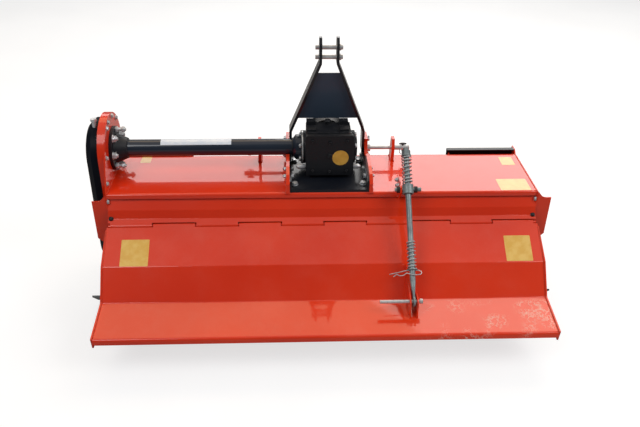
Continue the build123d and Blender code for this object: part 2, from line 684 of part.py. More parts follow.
lean = (mast_in_low - mast_in_top) / (MAST_TOP_BEND - MAST_LOW_BEND)
guard_low_half = mast_in_top + lean * (MAST_TOP_BEND - MAST_GUARD_LOW)
guard_top_half = mast_in_top + lean * (MAST_TOP_BEND - MAST_GUARD_TOP)
mast_lean = unit((TOP_PIN_Y - MAST_LOW_Y, MAST_TOP_BEND - MAST_LOW_BEND))
mast_guard_height = (MAST_GUARD_TOP - MAST_GUARD_LOW) / mast_lean[1]
mast_guard_face = polygon([
    (-guard_low_half, 0),
    (guard_low_half, 0),
    (guard_top_half, mast_guard_height),
    (-guard_top_half, mast_guard_height),
])
mast_guard_shift = MAST_GUARD_ABOVE_BEND * mast_lean[0] / mast_lean[1]
mast_guard_foot = (HITCH_X, MAST_LOW_Y - MAST_GUARD_SET_BACK + mast_guard_shift, MAST_GUARD_LOW)
mast_guard_plane = Plane(origin=mast_guard_foot, x_dir=(1, 0, 0), z_dir=(0, -mast_lean[1], mast_lean[0]))
add("mast_guard", extrude(mast_guard_plane * mast_guard_face, MAST_GUARD_SHEET))

bar_outside = mast_in_top + MAST_BAR
pin_reach = bar_outside + TOP_PIN_OVERHANG
head_start = HITCH_X + bar_outside
head_radius = TOP_PIN_RADIUS + TOP_PIN_HEAD_PROUD
top_pins_made = []
for z in top_pins:
    top_pin = disc(TOP_PIN_RADIUS, HITCH_X - pin_reach, HITCH_X + pin_reach, TOP_PIN_Y, z)
    top_pin += disc(head_radius, head_start, head_start + TOP_PIN_HEAD, TOP_PIN_Y, z)
    top_pins_made.append(top_pin)
add("top_link_pins", *top_pins_made)

ear_outline = [
    (HITCH_PIN_Y - EAR_HEEL, DECK_HEIGHT),
    (HITCH_PIN_Y - EAR_REAR[0], HITCH_PIN_HEIGHT + EAR_REAR[1]),
    (HITCH_PIN_Y - EAR_TOP_REAR[0], HITCH_PIN_HEIGHT + EAR_TOP_REAR[1]),
    (HITCH_PIN_Y + EAR_TOP_FRONT[0], HITCH_PIN_HEIGHT + EAR_TOP_FRONT[1]),
    (HITCH_PIN_Y + EAR_FRONT[0], HITCH_PIN_HEIGHT + EAR_FRONT[1]),
    (HITCH_PIN_Y + EAR_TOE, DECK_HEIGHT),
]
ear_face = polygon(ear_outline) - shank_hole
ear = across(ear_face, EAR_CENTRE - EAR_PLATE / 2, EAR_CENTRE + EAR_PLATE / 2)
add("hitch_ears", Pos(HITCH_X, 0, 0) * ear, Pos(HITCH_X, 0, 0) * mirror(ear, about=Plane.YZ))
ear_out = EAR_CENTRE + EAR_PLATE / 2
pin = disc(HITCH_SHANK_RADIUS, bracket_in, ear_out, HITCH_PIN_Y, HITCH_PIN_HEIGHT)
pin += disc(SHANK_NUT_RADIUS, bracket_out, bracket_out + SHANK_NUT, HITCH_PIN_Y, HITCH_PIN_HEIGHT)
pin += disc(HITCH_PIN_RADIUS, ear_out, ear_out + HITCH_PIN_FREE, HITCH_PIN_Y, HITCH_PIN_HEIGHT)
add("hitch_pins", Pos(HITCH_X, 0, 0) * pin, Pos(HITCH_X, 0, 0) * mirror(pin, about=Plane.YZ))

# ---- front guards ----
guard_line = [
    (FRONT_GUARD_Y - FRONT_GUARD_LEG, FRONT_GUARD_LOW + FRONT_GUARD_HEIGHT),
    (FRONT_GUARD_Y, FRONT_GUARD_LOW + FRONT_GUARD_HEIGHT),
    (FRONT_GUARD_Y, FRONT_GUARD_LOW),
]
front_guard = across(sheet(guard_line, FRONT_GUARD_PLATE, FRONT_GUARD_BEND), FRONT_GUARD_INNER, INNER)
add("front_guards", front_guard, mirror(front_guard, about=Plane.YZ))
slope = unit((FRONT_SLOPE_RUN, -FRONT_SLOPE_DROP))
arm_high = along((DECK_DEPTH, DECK_HEIGHT), slope, GUARD_ARM_TOP)
arm_low = along((DECK_DEPTH, DECK_HEIGHT), slope, GUARD_ARM_TOP + GUARD_ARM_LENGTH)
arm_front = FRONT_GUARD_Y - FRONT_GUARD_PLATE
arm_tip = (arm_front, FRONT_GUARD_LOW + GUARD_ARM_TIP)
arm_face = polygon([arm_high, arm_tip, (arm_front, FRONT_GUARD_LOW), arm_low])
arm_start = FRONT_GUARD_INNER + GUARD_ARM_INSET
arm = across(arm_face, arm_start, arm_start + HOOD_SHEET)
add("front_guard_arms", arm, mirror(arm, about=Plane.YZ))

# ---- skids ----
skid_line = [
    (SKID_REAR, SKID_REAR_LIFT),
    (SKID_FLAT_REAR, 0),
    (SKID_FLAT_FRONT, 0),
    (SKID_FRONT, SKID_FRONT_LIFT),
]
skid_line = skid_line[::-1]
sole = across(sheet(skid_line, SKID_PLATE, SKID_BEND), HALF, SKID_OUTER)
leg_rear = SKID_FLAT_REAR - SKID_LEG_OVERHANG
leg_front = SKID_FLAT_FRONT + SKID_LEG_OVERHANG
web_top = SIDE_FOOT_HEIGHT + SKID_WEB_TOP
web_outline = [
    (leg_rear, SKID_LEG_HEIGHT),
    (leg_rear, SKID_PLATE / 2 + SKID_WEB_CORNER),
    (leg_rear + SKID_WEB_CORNER, SKID_PLATE / 2),
    (leg_front - SKID_WEB_CORNER, SKID_PLATE / 2),
    (leg_front, SKID_PLATE / 2 + SKID_WEB_CORNER),
    (leg_front, SKID_LEG_HEIGHT),
    (leg_front - SKID_LEG_WIDTH, SKID_LEG_HEIGHT),
    (leg_front - SKID_LEG_WIDTH - SKID_LEG_LEAN, web_top),
    (leg_rear + SKID_LEG_WIDTH + SKID_LEG_LEAN, web_top),
    (leg_rear + SKID_LEG_WIDTH, SKID_LEG_HEIGHT),
]
web = across(polygon(web_outline), HALF, HALF + SKID_PLATE)
skid = sole + web
add("skid_right", skid)
add("skid_left", mirror(skid, about=Plane.YZ))

# ---- rotor bearing on the right ----
bearing_points = [
    (HALF, 0),
    (HALF, BEARING_FLANGE_RADIUS),
    (HALF + BEARING_FLANGE, BEARING_FLANGE_RADIUS),
    (HALF + BEARING_FLANGE, BEARING_HUB_RADIUS),
    (HALF + BEARING_DEPTH, BEARING_END_RADIUS),
    (HALF + BEARING_DEPTH, 0),
]
bearing = turned(bearing_points, ROTOR_Y, ROTOR_HEIGHT)
bearing -= disc(STUB_RADIUS + FIT_GAP, HALF, HALF + BEARING_SEAT, ROTOR_Y, ROTOR_HEIGHT)
add("rotor_bearing", bearing)

# ---- rotor ----
tube_half = INNER - ROTOR_END_GAP
rotor_tube = disc(ROTOR_TUBE_RADIUS, -tube_half, tube_half, ROTOR_Y, ROTOR_HEIGHT)
rotor_tube += disc(STUB_RADIUS, tube_half, HALF + BEARING_SEAT - SHAFT_END_GAP, ROTOR_Y, ROTOR_HEIGHT)
rotor_tube += disc(STUB_RADIUS, -HALF - STUB_SEAT + SHAFT_END_GAP, -tube_half, ROTOR_Y, ROTOR_HEIGHT)
flange_first = -(tube_half - FLANGE_PLATE / 2 - FLANGE_END_GAP)
flange_pitch = -2 * flange_first / (FLANGE_COUNT - 1)
flange_places = [flange_first + flange_pitch * i for i in range(FLANGE_COUNT)]
add("rotor_tube", rotor_tube)
flange_face = Pos(ROTOR_Y, ROTOR_HEIGHT) * (Circle(FLANGE_RADIUS) - Circle(ROTOR_TUBE_RADIUS))

# one tine, pointing up from the rotor's centre and bent over towards +X
tine_plane = Plane(origin=(0, 2 * TINE_WIDTH, 0), x_dir=(1, 0, 0), z_dir=(0, -1, 0))
tine_line = [(0, TINE_ROOT), (0, TINE_RADIUS - TINE_HEEL), (TINE_REACH, TINE_RADIUS - TINE_TIP_FALL)]
tine_bar = extrude(tine_plane * sheet(tine_line, TINE_PLATE, TINE_BEND), 4 * TINE_WIDTH)
half = TINE_WIDTH / 2
shank_end = TINE_ROOT + TINE_SHANK
knee = TINE_RADIUS - TINE_KNEE
tine_side = polygon([
    (-half, TINE_ROOT),
    (half, TINE_ROOT),
    (half, shank_end),
    (half - TINE_KNEE_SWEEP, knee),
    (half - TINE_SWEEP, TINE_RADIUS),
    (-half - TINE_SWEEP, TINE_RADIUS),
    (-half - TINE_KNEE_SWEEP, knee),
    (-half, shank_end),
])
tine = tine_bar & across(tine_side, 0, TINE_REACH)
tine &= disc(TINE_RADIUS, 0, TINE_REACH, 0, 0)
reels = []
for i, x in enumerate(flange_places):
    reel = across(flange_face, x - FLANGE_PLATE / 2, x + FLANGE_PLATE / 2)
    for k in range(TINES_PER_FLANGE):
        inward = 1 if i == 0 else -1 if i == FLANGE_COUNT - 1 else (1 if k % 2 else -1)
        turn = 360 / TINES_PER_FLANGE * k + TINE_PHASE_STEP * i
        bent = tine if inward > 0 else mirror(tine, about=Plane.YZ)
        reel += Pos(x + inward * FLANGE_PLATE / 2, ROTOR_Y, ROTOR_HEIGHT) * Rot(turn, 0, 0) * bent
    reels.append(reel)
add("tine_flanges", *reels)

# ---- tailboard ----
tail_folds = [(HINGE_Y - a, HINGE_Z - b) for a, b in (TAIL_FOLD_1, TAIL_FOLD_2, TAIL_EDGE)]
top_dir = unit((tail_folds[0][0] - hinge[0], tail_folds[0][1] - hinge[1]))
tail_start = along(hinge, (top_dir[1], -top_dir[0]), HINGE_EYE_RADIUS)
tail_lip = (tail_folds[2][0] - TAIL_LIP_TUCK, tail_folds[2][1] - TAIL_LIP)
tail_line = [tail_start] + tail_folds + [tail_lip]
tail = across(sheet(tail_line[::-1], TAIL_SHEET, TAIL_BEND), -tail_half, tail_half)
add("tailboard_sheet", with_eyes(tail, tail_half, loose_eye, tail_eyes))

gusset_line = [along(hinge, top_dir, TAIL_GUSSET_START)] + tail_folds
gusset_line = gusset_line[::-1]
proud = offset_line(gusset_line, -TAIL_GUSSET_PROUD)
deep = offset_line(gusset_line, TAIL_GUSSET_DEEP)
gusset_face = polygon(proud + deep[::-1])
gusset = across(gusset_face, tail_half, tail_half + TAIL_GUSSET)
add("tailboard_gussets", gusset, mirror(gusset, about=Plane.YZ))

# ---- tailboard rod, springs and swivel collar ----
collar = (COLLAR_Y, DECK_HEIGHT + COLLAR_RISE)
rod_pin = (HINGE_Y - ROD_PIN_BEHIND, HINGE_Z - ROD_PIN_BELOW)
rod_dir = unit((rod_pin[0] - collar[0], rod_pin[1] - collar[1]))
rod_length = math.hypot(rod_pin[0] - collar[0], rod_pin[1] - collar[1])
# local rod frame: origin at the collar, Z up the rod away from the tailboard
rod_frame = Plane(origin=(ROD_X, *collar), x_dir=(1, 0, 0), z_dir=(0, -rod_dir[0], -rod_dir[1]))
pin_at = -rod_length

nut_low = COLLAR_LENGTH / 2 + UPPER_SPRING_LENGTH + WASHER
taper_low = pin_at + ROD_FLAT_LENGTH
taper_high = taper_low + ROD_TAPER
# the round bar is forged flat towards the eye: two sloping cheeks cut it
forged = extrude(Plane.XZ.offset(-2 * ROD_RADIUS) * polygon([
    (-ROD_FLAT / 2, taper_low),
    (ROD_FLAT / 2, taper_low),
    (ROD_RADIUS, taper_high),
    (-ROD_RADIUS, taper_high),
]), 4 * ROD_RADIUS)
rod = Pos(0, 0, taper_high) * rising(ROD_RADIUS, ROD_TOP_REACH - taper_high)
rod += Pos(0, 0, taper_low) * rising(ROD_RADIUS, ROD_TAPER) & forged
paddle = extrude(Plane.YZ.offset(-ROD_FLAT / 2) * (Pos(0, pin_at) * Circle(ROD_EYE_RADIUS)), ROD_FLAT)
neck_length = ROD_FLAT_LENGTH + ROD_TAPER / 2
neck = Box(ROD_FLAT, 2 * ROD_RADIUS, neck_length, align=(Align.CENTER, Align.CENTER, Align.MIN))
paddle += Pos(0, 0, pin_at) * neck
rod += paddle
rod -= extrude(Plane.YZ.offset(-ROD_FLAT) * (Pos(0, pin_at) * Circle(ROD_PIN_RADIUS + PIN_GAP)), 2 * ROD_FLAT)
clip_at = pin_at + LOWER_SPRING_END - WASHER - CLIP_WIRE
rod -= Pos(0, 0, clip_at) * Rot(0, 90, 0) * Cylinder(CLIP_WIRE + PIN_GAP / 2, 4 * ROD_RADIUS)
add("adjusting_rod", rod_frame * rod)

nut = Pos(0, 0, nut_low) * extrude(RegularPolygon(NUT_RADIUS, 6), NUT_HEIGHT)
nut += Pos(0, 0, nut_low - WASHER) * rising(WASHER_RADIUS, WASHER)
nut -= Pos(0, 0, nut_low - WASHER) * rising(ROD_RADIUS, NUT_HEIGHT + WASHER)
add("rod_nut", rod_frame * nut)


def coil(start, length, turns, radius):
    # helix in short straight runs, so that its many turns stay light
    pitch = (length - 2 * SPRING_WIRE) / turns
    places = []
    for i in range(turns * COIL_RUNS + 1):
        angle = 2 * math.pi * i / COIL_RUNS
        rise = start + SPRING_WIRE + pitch * i / COIL_RUNS
        places.append((radius * math.cos(angle), radius * math.sin(angle), rise))
    path = Polyline(*places)
    section = Plane(origin=path @ 0, z_dir=path % 0) * RegularPolygon(SPRING_WIRE, COIL_SIDES)
    return sweep(section, path, transition=Transition.RIGHT)


lower_start = pin_at + LOWER_SPRING_END
upper_coil = coil(COLLAR_LENGTH / 2, UPPER_SPRING_LENGTH, UPPER_SPRING_TURNS, UPPER_SPRING_RADIUS)
lower_coil = coil(lower_start, LOWER_SPRING_LENGTH, LOWER_SPRING_TURNS, LOWER_SPRING_RADIUS)
add("upper_spring", rod_frame * upper_coil)
add("lower_spring", rod_frame * lower_coil)
spring_washer = Pos(0, 0, lower_start - WASHER) * (rising(WASHER_RADIUS, WASHER) - rising(ROD_RADIUS, WASHER))
add("spring_washer", rod_frame * spring_washer)

wave_side = -ROD_RADIUS - CLIP_WIRE - CLIP_STAND_OFF
clip_points = [
    (-ROD_RADIUS - CLIP_LEG, 0, 0),
    (ROD_RADIUS + CLIP_OVERHANG, 0, 0),
    (ROD_RADIUS + CLIP_OVERHANG + CLIP_BOW[0], wave_side / 3, -CLIP_BOW[1]),
    (ROD_RADIUS + CLIP_OVERHANG + CLIP_BOW[0], 2 * wave_side / 3, -2 * CLIP_BOW[1]),
]
clip_points += [(-beyond, wave_side, -below) for beyond, below in CLIP_WAVES]
clip_path = Pos(0, 0, clip_at) * Polyline(*clip_points)
clip_section = Plane(origin=clip_path @ 0, z_dir=clip_path % 0) * RegularPolygon(CLIP_WIRE, 2 * COIL_SIDES)
add("retaining_clip", rod_frame * sweep(clip_section, clip_path, transition=Transition.RIGHT))

sleeve = Cylinder(COLLAR_RADIUS, COLLAR_LENGTH)
trunnion_start = COLLAR_BORE + TRUNNION_SHOULDER
for start in (trunnion_start, -TRUNNION_REACH):
    sleeve += extrude(Plane.YZ.offset(start) * Circle(TRUNNION_RADIUS), TRUNNION_REACH - trunnion_start)
sleeve -= Cylinder(COLLAR_BORE, 2 * COLLAR_LENGTH)
add("swivel_collar", rod_frame * sleeve)
collar_ear_in = COLLAR_RADIUS + COLLAR_EAR_GAP
nut_ring = Circle(TRUNNION_NUT_RADIUS) - Circle(TRUNNION_RADIUS)
nut_left_at = -collar_ear_in - COLLAR_EAR_PLATE - TRUNNION_SIDE_GAP - TRUNNION_NUT
nut_left = extrude(Plane.YZ.offset(nut_left_at) * nut_ring, TRUNNION_NUT)
nut_right = extrude(Plane.YZ.offset(collar_ear_in) * nut_ring, TRUNNION_NUT)
add("trunnion_nuts", rod_frame * nut_left, rod_frame * nut_right)

collar_ear_outline = [
    (collar[0] - COLLAR_EAR_REAR[0], collar[1] - COLLAR_EAR_REAR[1]),
    (collar[0] - COLLAR_EAR_TOP_REAR, collar[1] + COLLAR_EAR_TOP),
    (collar[0] + COLLAR_EAR_TOP_FRONT, collar[1] + COLLAR_EAR_TOP),
    (COLLAR_EAR_KNEE[0], DECK_HEIGHT + COLLAR_EAR_KNEE[1]),
    (COLLAR_EAR_FOOT, DECK_HEIGHT),
    (0, DECK_HEIGHT),
    (0, DECK_HEIGHT - LIP_HEIGHT),
    (-COLLAR_EAR_HANG, DECK_HEIGHT - LIP_HEIGHT),
]
collar_ear_face = polygon(collar_ear_outline) - Pos(*collar) * Circle(TRUNNION_RADIUS + FIT_GAP)
ear_x = ROD_X - collar_ear_in - COLLAR_EAR_PLATE
add("collar_bracket", across(collar_ear_face, ear_x, ear_x + COLLAR_EAR_PLATE))

# ears on the tailboard, either side of the rod's flat end
mid_dir = unit((tail_folds[1][0] - tail_folds[0][0], tail_folds[1][1] - tail_folds[0][1]))
low_dir = unit((tail_folds[2][0] - tail_folds[1][0], tail_folds[2][1] - tail_folds[1][1]))
ear_foot = along(tail_folds[1], low_dir, TAIL_EAR_FOOT)
tall_start = along(tail_folds[0], mid_dir, TALL_EAR_START)
tall_corner = along(tall_start, (mid_dir[1], -mid_dir[0]), TALL_EAR_DEPTH)
ear_above = (rod_pin[0] + TAIL_EAR_ABOVE[0], rod_pin[1] + TAIL_EAR_ABOVE[1])
ear_behind = (rod_pin[0] - TAIL_EAR_BEHIND[0], rod_pin[1] + TAIL_EAR_BEHIND[1])
tall_ear_face = polygon([tall_start, tall_corner, ear_above, ear_behind, ear_foot, tail_folds[1]])
short_start = along(tail_folds[0], mid_dir, SHORT_EAR_START)
short_ear_face = polygon([short_start, ear_above, ear_behind, ear_foot, tail_folds[1]])
pin_hole = Pos(*rod_pin) * Circle(ROD_PIN_RADIUS)
ear_left = across(tall_ear_face - pin_hole, ROD_X - EAR_SPACE / 2 - TAIL_EAR_PLATE, ROD_X - EAR_SPACE / 2)
ear_right = across(short_ear_face - pin_hole, ROD_X + EAR_SPACE / 2, ROD_X + EAR_SPACE / 2 + TAIL_EAR_PLATE)
tail_sheet = Compound(parts["tailboard_sheet"])
add("rod_ears", ear_left - tail_sheet, ear_right - tail_sheet)
pin_head_at = ROD_X + ROD_PIN_RIGHT
tail_pin = disc(ROD_PIN_RADIUS, ROD_X - ROD_PIN_LEFT, pin_head_at, *rod_pin)
tail_pin += disc(ROD_PIN_HEAD_RADIUS, pin_head_at, pin_head_at + ROD_PIN_HEAD, *rod_pin)
add("rod_pin", tail_pin)

# ---- shift to the footprint's middle and write ----
everything = Compound([s for solids in parts.values() for s in solids])
box = everything.bounding_box()
SHIFT_Y = -(box.min.Y + box.max.Y) / 2
for name, solids in parts.items():
    moved = [Pos(0, SHIFT_Y, 0) * s for s in solids]
    shape = moved[0] if len(moved) == 1 else Compound(moved)
    shape.label = name
    export_step(shape, f"parts/{name}.step")
print("box", box.min, box.max, "shift", SHIFT_Y)
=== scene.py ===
import bpy
import bmesh
import json
import numpy as np
from mathutils import Matrix, Vector


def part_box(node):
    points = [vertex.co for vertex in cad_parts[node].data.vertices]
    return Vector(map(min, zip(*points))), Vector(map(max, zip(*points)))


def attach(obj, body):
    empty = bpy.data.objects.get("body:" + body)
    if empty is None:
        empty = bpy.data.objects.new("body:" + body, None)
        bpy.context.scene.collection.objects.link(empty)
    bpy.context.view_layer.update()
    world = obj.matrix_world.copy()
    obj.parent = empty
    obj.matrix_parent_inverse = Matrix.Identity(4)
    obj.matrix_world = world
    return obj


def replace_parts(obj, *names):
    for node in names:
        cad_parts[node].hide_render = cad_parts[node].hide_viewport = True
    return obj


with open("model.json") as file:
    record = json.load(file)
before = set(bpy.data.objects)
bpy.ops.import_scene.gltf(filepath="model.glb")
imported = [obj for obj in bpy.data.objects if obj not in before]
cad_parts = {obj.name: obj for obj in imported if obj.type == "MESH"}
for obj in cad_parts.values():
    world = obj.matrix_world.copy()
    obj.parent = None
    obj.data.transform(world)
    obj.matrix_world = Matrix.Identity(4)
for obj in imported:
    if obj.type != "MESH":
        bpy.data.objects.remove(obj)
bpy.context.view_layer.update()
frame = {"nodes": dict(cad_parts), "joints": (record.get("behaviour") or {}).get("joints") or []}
nodes = frame["nodes"]
joints = {joint["name"]: joint for joint in frame["joints"]}
print("stage 1: CAD frame loaded,", len(nodes), "nodes")

# places below are taken from the deck's rear top edge: X right, Y forward, Z up, in metres
deckLow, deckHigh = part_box("hood_deck")
deckOrigin = np.array([0.0, deckLow.y, deckHigh.z])
innerFace = deckHigh.x
xAxis = np.array([1.0, 0.0, 0.0])
looks = {}  # the finished materials, by name


# mesh helpers
def unit(v):
    # a vector, or each row of a list of vectors, over its own length
    v = np.asarray(v, float)
    return v / np.linalg.norm(v, axis=-1, keepdims=True)


def gridFaces(rows, columns, wrap=True):
    # corner numbers of the quads between neighbouring rows and columns
    # wrap joins the last column to the first
    r, c = np.meshgrid(np.arange(rows - 1), np.arange(columns if wrap else columns - 1), indexing="ij")
    near, far, nextC = r * columns, (r + 1) * columns, (c + 1) % columns
    return np.stack([near + c, near + nextC, far + nextC, far + c], -1).reshape(-1, 4)


def makePiece(name, points, faces, body, slot, look, sharp=35, merge=True):
    # puts whole arrays into a mesh, closes its seams and poles, turns its faces outwards
    mesh = bpy.data.meshes.new(name)
    points = np.asarray(points, np.float32).reshape(-1, 3)
    faces = np.asarray(faces, np.int32)
    perFace = faces.shape[1]
    mesh.vertices.add(len(points))
    mesh.vertices.foreach_set("co", points.ravel())
    mesh.loops.add(faces.size)
    mesh.loops.foreach_set("vertex_index", faces.ravel())
    mesh.polygons.add(len(faces))
    mesh.polygons.foreach_set("loop_start", np.arange(0, faces.size, perFace, dtype=np.int32))
    mesh.update(calc_edges=True)
    mesh.validate()
    bm = bmesh.new()
    bm.from_mesh(mesh)
    if merge:
        bmesh.ops.remove_doubles(bm, verts=bm.verts, dist=1e-6)
    bmesh.ops.recalc_face_normals(bm, faces=bm.faces)
    bm.to_mesh(mesh)
    bm.free()
    mesh.shade_smooth()
    mesh.set_sharp_from_angle(angle=np.radians(sharp))
    mesh.materials.append(looks[look])
    piece = bpy.data.objects.new(name, mesh)
    bpy.context.scene.collection.objects.link(piece)
    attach(piece, body)
    return piece


def turnedShape(profile, sides=24):
    # a profile of (radius, height) or (radius, height, flatness) turned about Z
    # flatness 1 draws the round in to a hexagon: cos 30 over the cosine of the angle from the flat's middle
    radius, height, flatness = np.array([(*row, 0)[:3] for row in profile], float).T[:, :, None]
    angle = np.linspace(0, 2 * np.pi, sides, endpoint=False)
    hexagon = np.cos(np.pi / 6) / np.cos(np.mod(angle, np.pi / 3) - np.pi / 6)
    outline = radius * (1 - flatness + flatness * hexagon)
    points = np.stack([outline * np.cos(angle), outline * np.sin(angle), height + 0 * outline], -1)
    return points.reshape(-1, 3), gridFaces(len(radius), sides)


def closedRings(rings):
    # rings of places one after another, with each end closed to the middle of its ring
    rings = np.asarray(rings, float)
    ends = [np.broadcast_to(ring.mean(0), ring.shape)[None] for ring in (rings[0], rings[-1])]
    rings = np.concatenate([ends[0], rings, ends[1]])
    return rings.reshape(-1, 3), gridFaces(len(rings), rings.shape[1])


def scatter(shape, places, directions, sizes, turns=0.0):
    # the same shape at many places: each copy is scaled, turned about its Z,
    # and laid so that its Z lies along its direction
    points, faces = shape
    places = np.atleast_2d(places).astype(float)
    count = len(places)
    z = unit(np.broadcast_to(directions, (count, 3)))
    helper = np.where(np.abs(z[:, 2:3]) > 0.9, [[1.0, 0, 0]], [[0, 0, 1.0]])
    x = unit(np.cross(helper, z))
    y = np.cross(z, x)
    turns = np.broadcast_to(turns, (count,))[:, None]
    x, y = x * np.cos(turns) + y * np.sin(turns), y * np.cos(turns) - x * np.sin(turns)
    scaled = points[None] * np.broadcast_to(sizes, (count,))[:, None, None]
    moved = np.einsum("nij,njk->nik", scaled, np.stack([x, y, z], 1)) + places[:, None]
    shifts = np.arange(count)[:, None, None] * len(points)
    return moved.reshape(-1, 3), (faces[None] + shifts).reshape(-1, faces.shape[1])


def joined(*parts):
    # several (points, faces) pairs as one
    starts = np.cumsum([0] + [len(points) for points, faces in parts[:-1]])
    points = np.concatenate([points for points, faces in parts])
    return points, np.concatenate([faces + start for (points, faces), start in zip(parts, starts)])


def rodAlong(path, radius, sides=10):
    # a round bar along a path: rings square to the path's direction, closed at both ends
    path = np.asarray(path, float)
    along = unit(np.gradient(path, axis=0))
    square = np.cross(path[0] - path.mean(0), path[-1] - path.mean(0))
    helper = unit(square) if np.linalg.norm(square) > 1e-7 else np.array([0, 0, 1.0])
    if abs(along[0] @ helper) > 0.95:
        helper = xAxis
    side = unit(np.cross(along, helper))[:, None]
    up = np.cross(side[:, 0], along)[:, None]
    angle = np.linspace(0, 2 * np.pi, sides, endpoint=False)[None, :, None]
    radius = np.broadcast_to(radius, (len(path),))[:, None, None]
    return closedRings(path[:, None] + (side * np.cos(angle) + up * np.sin(angle)) * radius)


def smoothPath(corners, perSide=8):
    # a curve through the given corners: Catmull-Rom spans, each a cubic of its four nearest corners
    c = np.asarray(corners, float)
    c = np.concatenate([2 * c[:1] - c[1:2], c, 2 * c[-1:] - c[-2:-1]])
    t = np.linspace(0, 1, perSide, endpoint=False)[None, :, None]
    a, b, d, e = c[:-3, None], c[1:-2, None], c[2:-1, None], c[3:, None]
    square, cube = 2 * a - 5 * b + 4 * d - e, 3 * b - a - 3 * d + e
    curve = 0.5 * (2 * b + (d - a) * t + square * t**2 + cube * t**3)
    return np.concatenate([curve.reshape(-1, 3), c[-2:-1]])


def roundedPlate(width, height, thick, corner, cornerSteps=5, edge=0.0002):
    # a flat plate with rounded corners, lying on Z = 0
    # its rings run from the middle of the back, round the edge, to the middle of the front
    quadrant = np.repeat(np.arange(4), cornerSteps)
    angle = np.tile(np.linspace(0, np.pi / 2, cornerSteps), 4) + quadrant * np.pi / 2
    cx = np.array([1, -1, -1, 1])[quadrant] * (width / 2 - corner)
    cy = np.array([1, 1, -1, -1])[quadrant] * (height / 2 - corner)
    rows = []
    for inset, z in ((None, 0), (0, 0), (0, thick - edge), (edge, thick), (None, thick)):
        if inset is None:
            rows.append(np.stack([0 * cx, 0 * cy, 0 * cx + z], -1))
        else:
            r = corner - inset
            rows.append(np.stack([cx + r * np.cos(angle), cy + r * np.sin(angle), 0 * cx + z], -1))
    return np.concatenate(rows), gridFaces(len(rows), len(angle))


def boxShape(low, high):
    # a plain block: its four upright edges as two rings
    (x0, y0, z0), (x1, y1, z1) = low, high
    return closedRings([[(x0, y0, z), (x1, y0, z), (x1, y1, z), (x0, y1, z)] for z in (z0, z1)])


def surfaceUnder(node, x, y):
    # the place and the outward direction of a CAD node's top surface over (x, y)
    hit, place, normal, index = nodes[node].ray_cast(Vector((x, y, 5.0)), Vector((0, 0, -1)))
    if not hit:
        raise RuntimeError("nothing of " + node + " under that place")
    return np.array(place), np.array(normal)


def onSurface(node, centre, shape):
    # lays a flat shape on the top surface of a node
    # its X stays along X, and its Z becomes the surface's outward direction
    points, faces = shape
    place, normal = surfaceUnder(node, centre[0] + deckOrigin[0], centre[1] + deckOrigin[1])
    return points @ np.stack([xAxis, np.cross(normal, xAxis), normal]) + place, faces


def seamAcross(node, x, fromY, toY, steps=40):
    # places down a node's top surface, at one X, between two distances from the deck's rear edge
    return np.array([surfaceUnder(node, x, y + deckOrigin[1])[0] for y in np.linspace(fromY, toY, steps)])


def ringPlaces(x, centre, radius, degrees):
    # places on a circle that faces along X
    turn = np.radians(np.asarray(degrees, float))
    forward, height = centre[0] + radius * np.cos(turn), centre[1] + radius * np.sin(turn)
    return np.stack([np.full(len(turn), x), forward, height], -1)


def nodePoints(node):
    # every corner of a CAD node's mesh
    mesh = nodes[node].data
    co = np.empty(len(mesh.vertices) * 3, np.float32)
    mesh.vertices.foreach_get("co", co)
    return co.reshape(-1, 3).astype(float)


def faceOf(node, axis, end):
    # one face of a CAD node's box, measured from the deck's rear top edge
    low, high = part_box(node)
    return (high if end > 0 else low)[axis] - deckOrigin[axis]


# shader helpers
def feed(tree, inputs, sources):
    # a source that is another node's socket is linked, and a plain value is set
    for socket, source in sources.items():
        if isinstance(source, bpy.types.NodeSocket):
            tree.links.new(source, inputs[socket])
        else:
            inputs[socket].default_value = source


def addNode(tree, kind, sources=None, **settings):
    # a new node with its settings made first and its sockets fed after them
    node = tree.nodes.new(kind)
    for key, value in settings.items():
        setattr(node, key, value)
    feed(tree, node.inputs, sources or {})
    return node


def objectPlace(tree):
    # where a point lies on its own piece, in metres
    return tree.nodes.new("ShaderNodeTexCoord").outputs["Object"]


def noise(tree, place, scale, detail, roughness):
    # cloudy values between 0 and 1
    inputs = {"Vector": place, "Scale": scale, "Detail": detail, "Roughness": roughness}
    return addNode(tree, "ShaderNodeTexNoise", inputs).outputs["Fac"]


def smoothStep(tree, value, low, high):
    # 0 at low, 1 at high, and an S-shaped rise between them
    inputs = {"Value": value, "From Min": low, "From Max": high}
    return addNode(tree, "ShaderNodeMapRange", inputs, interpolation_type="SMOOTHSTEP").outputs["Result"]


def arithmetic(tree, operation, a, b=0.0):
    # one sum over the whole surface; the two below are its commonest kinds
    return addNode(tree, "ShaderNodeMath", {0: a, 1: b}, operation=operation).outputs[0]


def times(tree, a, b):
    return arithmetic(tree, "MULTIPLY", a, b)


def plus(tree, a, b):
    return arithmetic(tree, "ADD", a, b)


def mixColor(tree, share, a, b):
    # colour a where the share is 0, colour b where it is 1
    a, b = ((*color, 1.0) if isinstance(color, tuple) else color for color in (a, b))
    return addNode(tree, "ShaderNodeMix", {0: share, 6: a, 7: b}, data_type="RGBA").outputs[2]


def bump(tree, height, strength, distance, normal=None):
    # tilts the given normal, or the surface's own, along the height's slope
    sources = {"Height": height, "Strength": strength, "Distance": distance}
    if normal is not None:
        sources["Normal"] = normal
    return addNode(tree, "ShaderNodeBump", sources).outputs["Normal"]


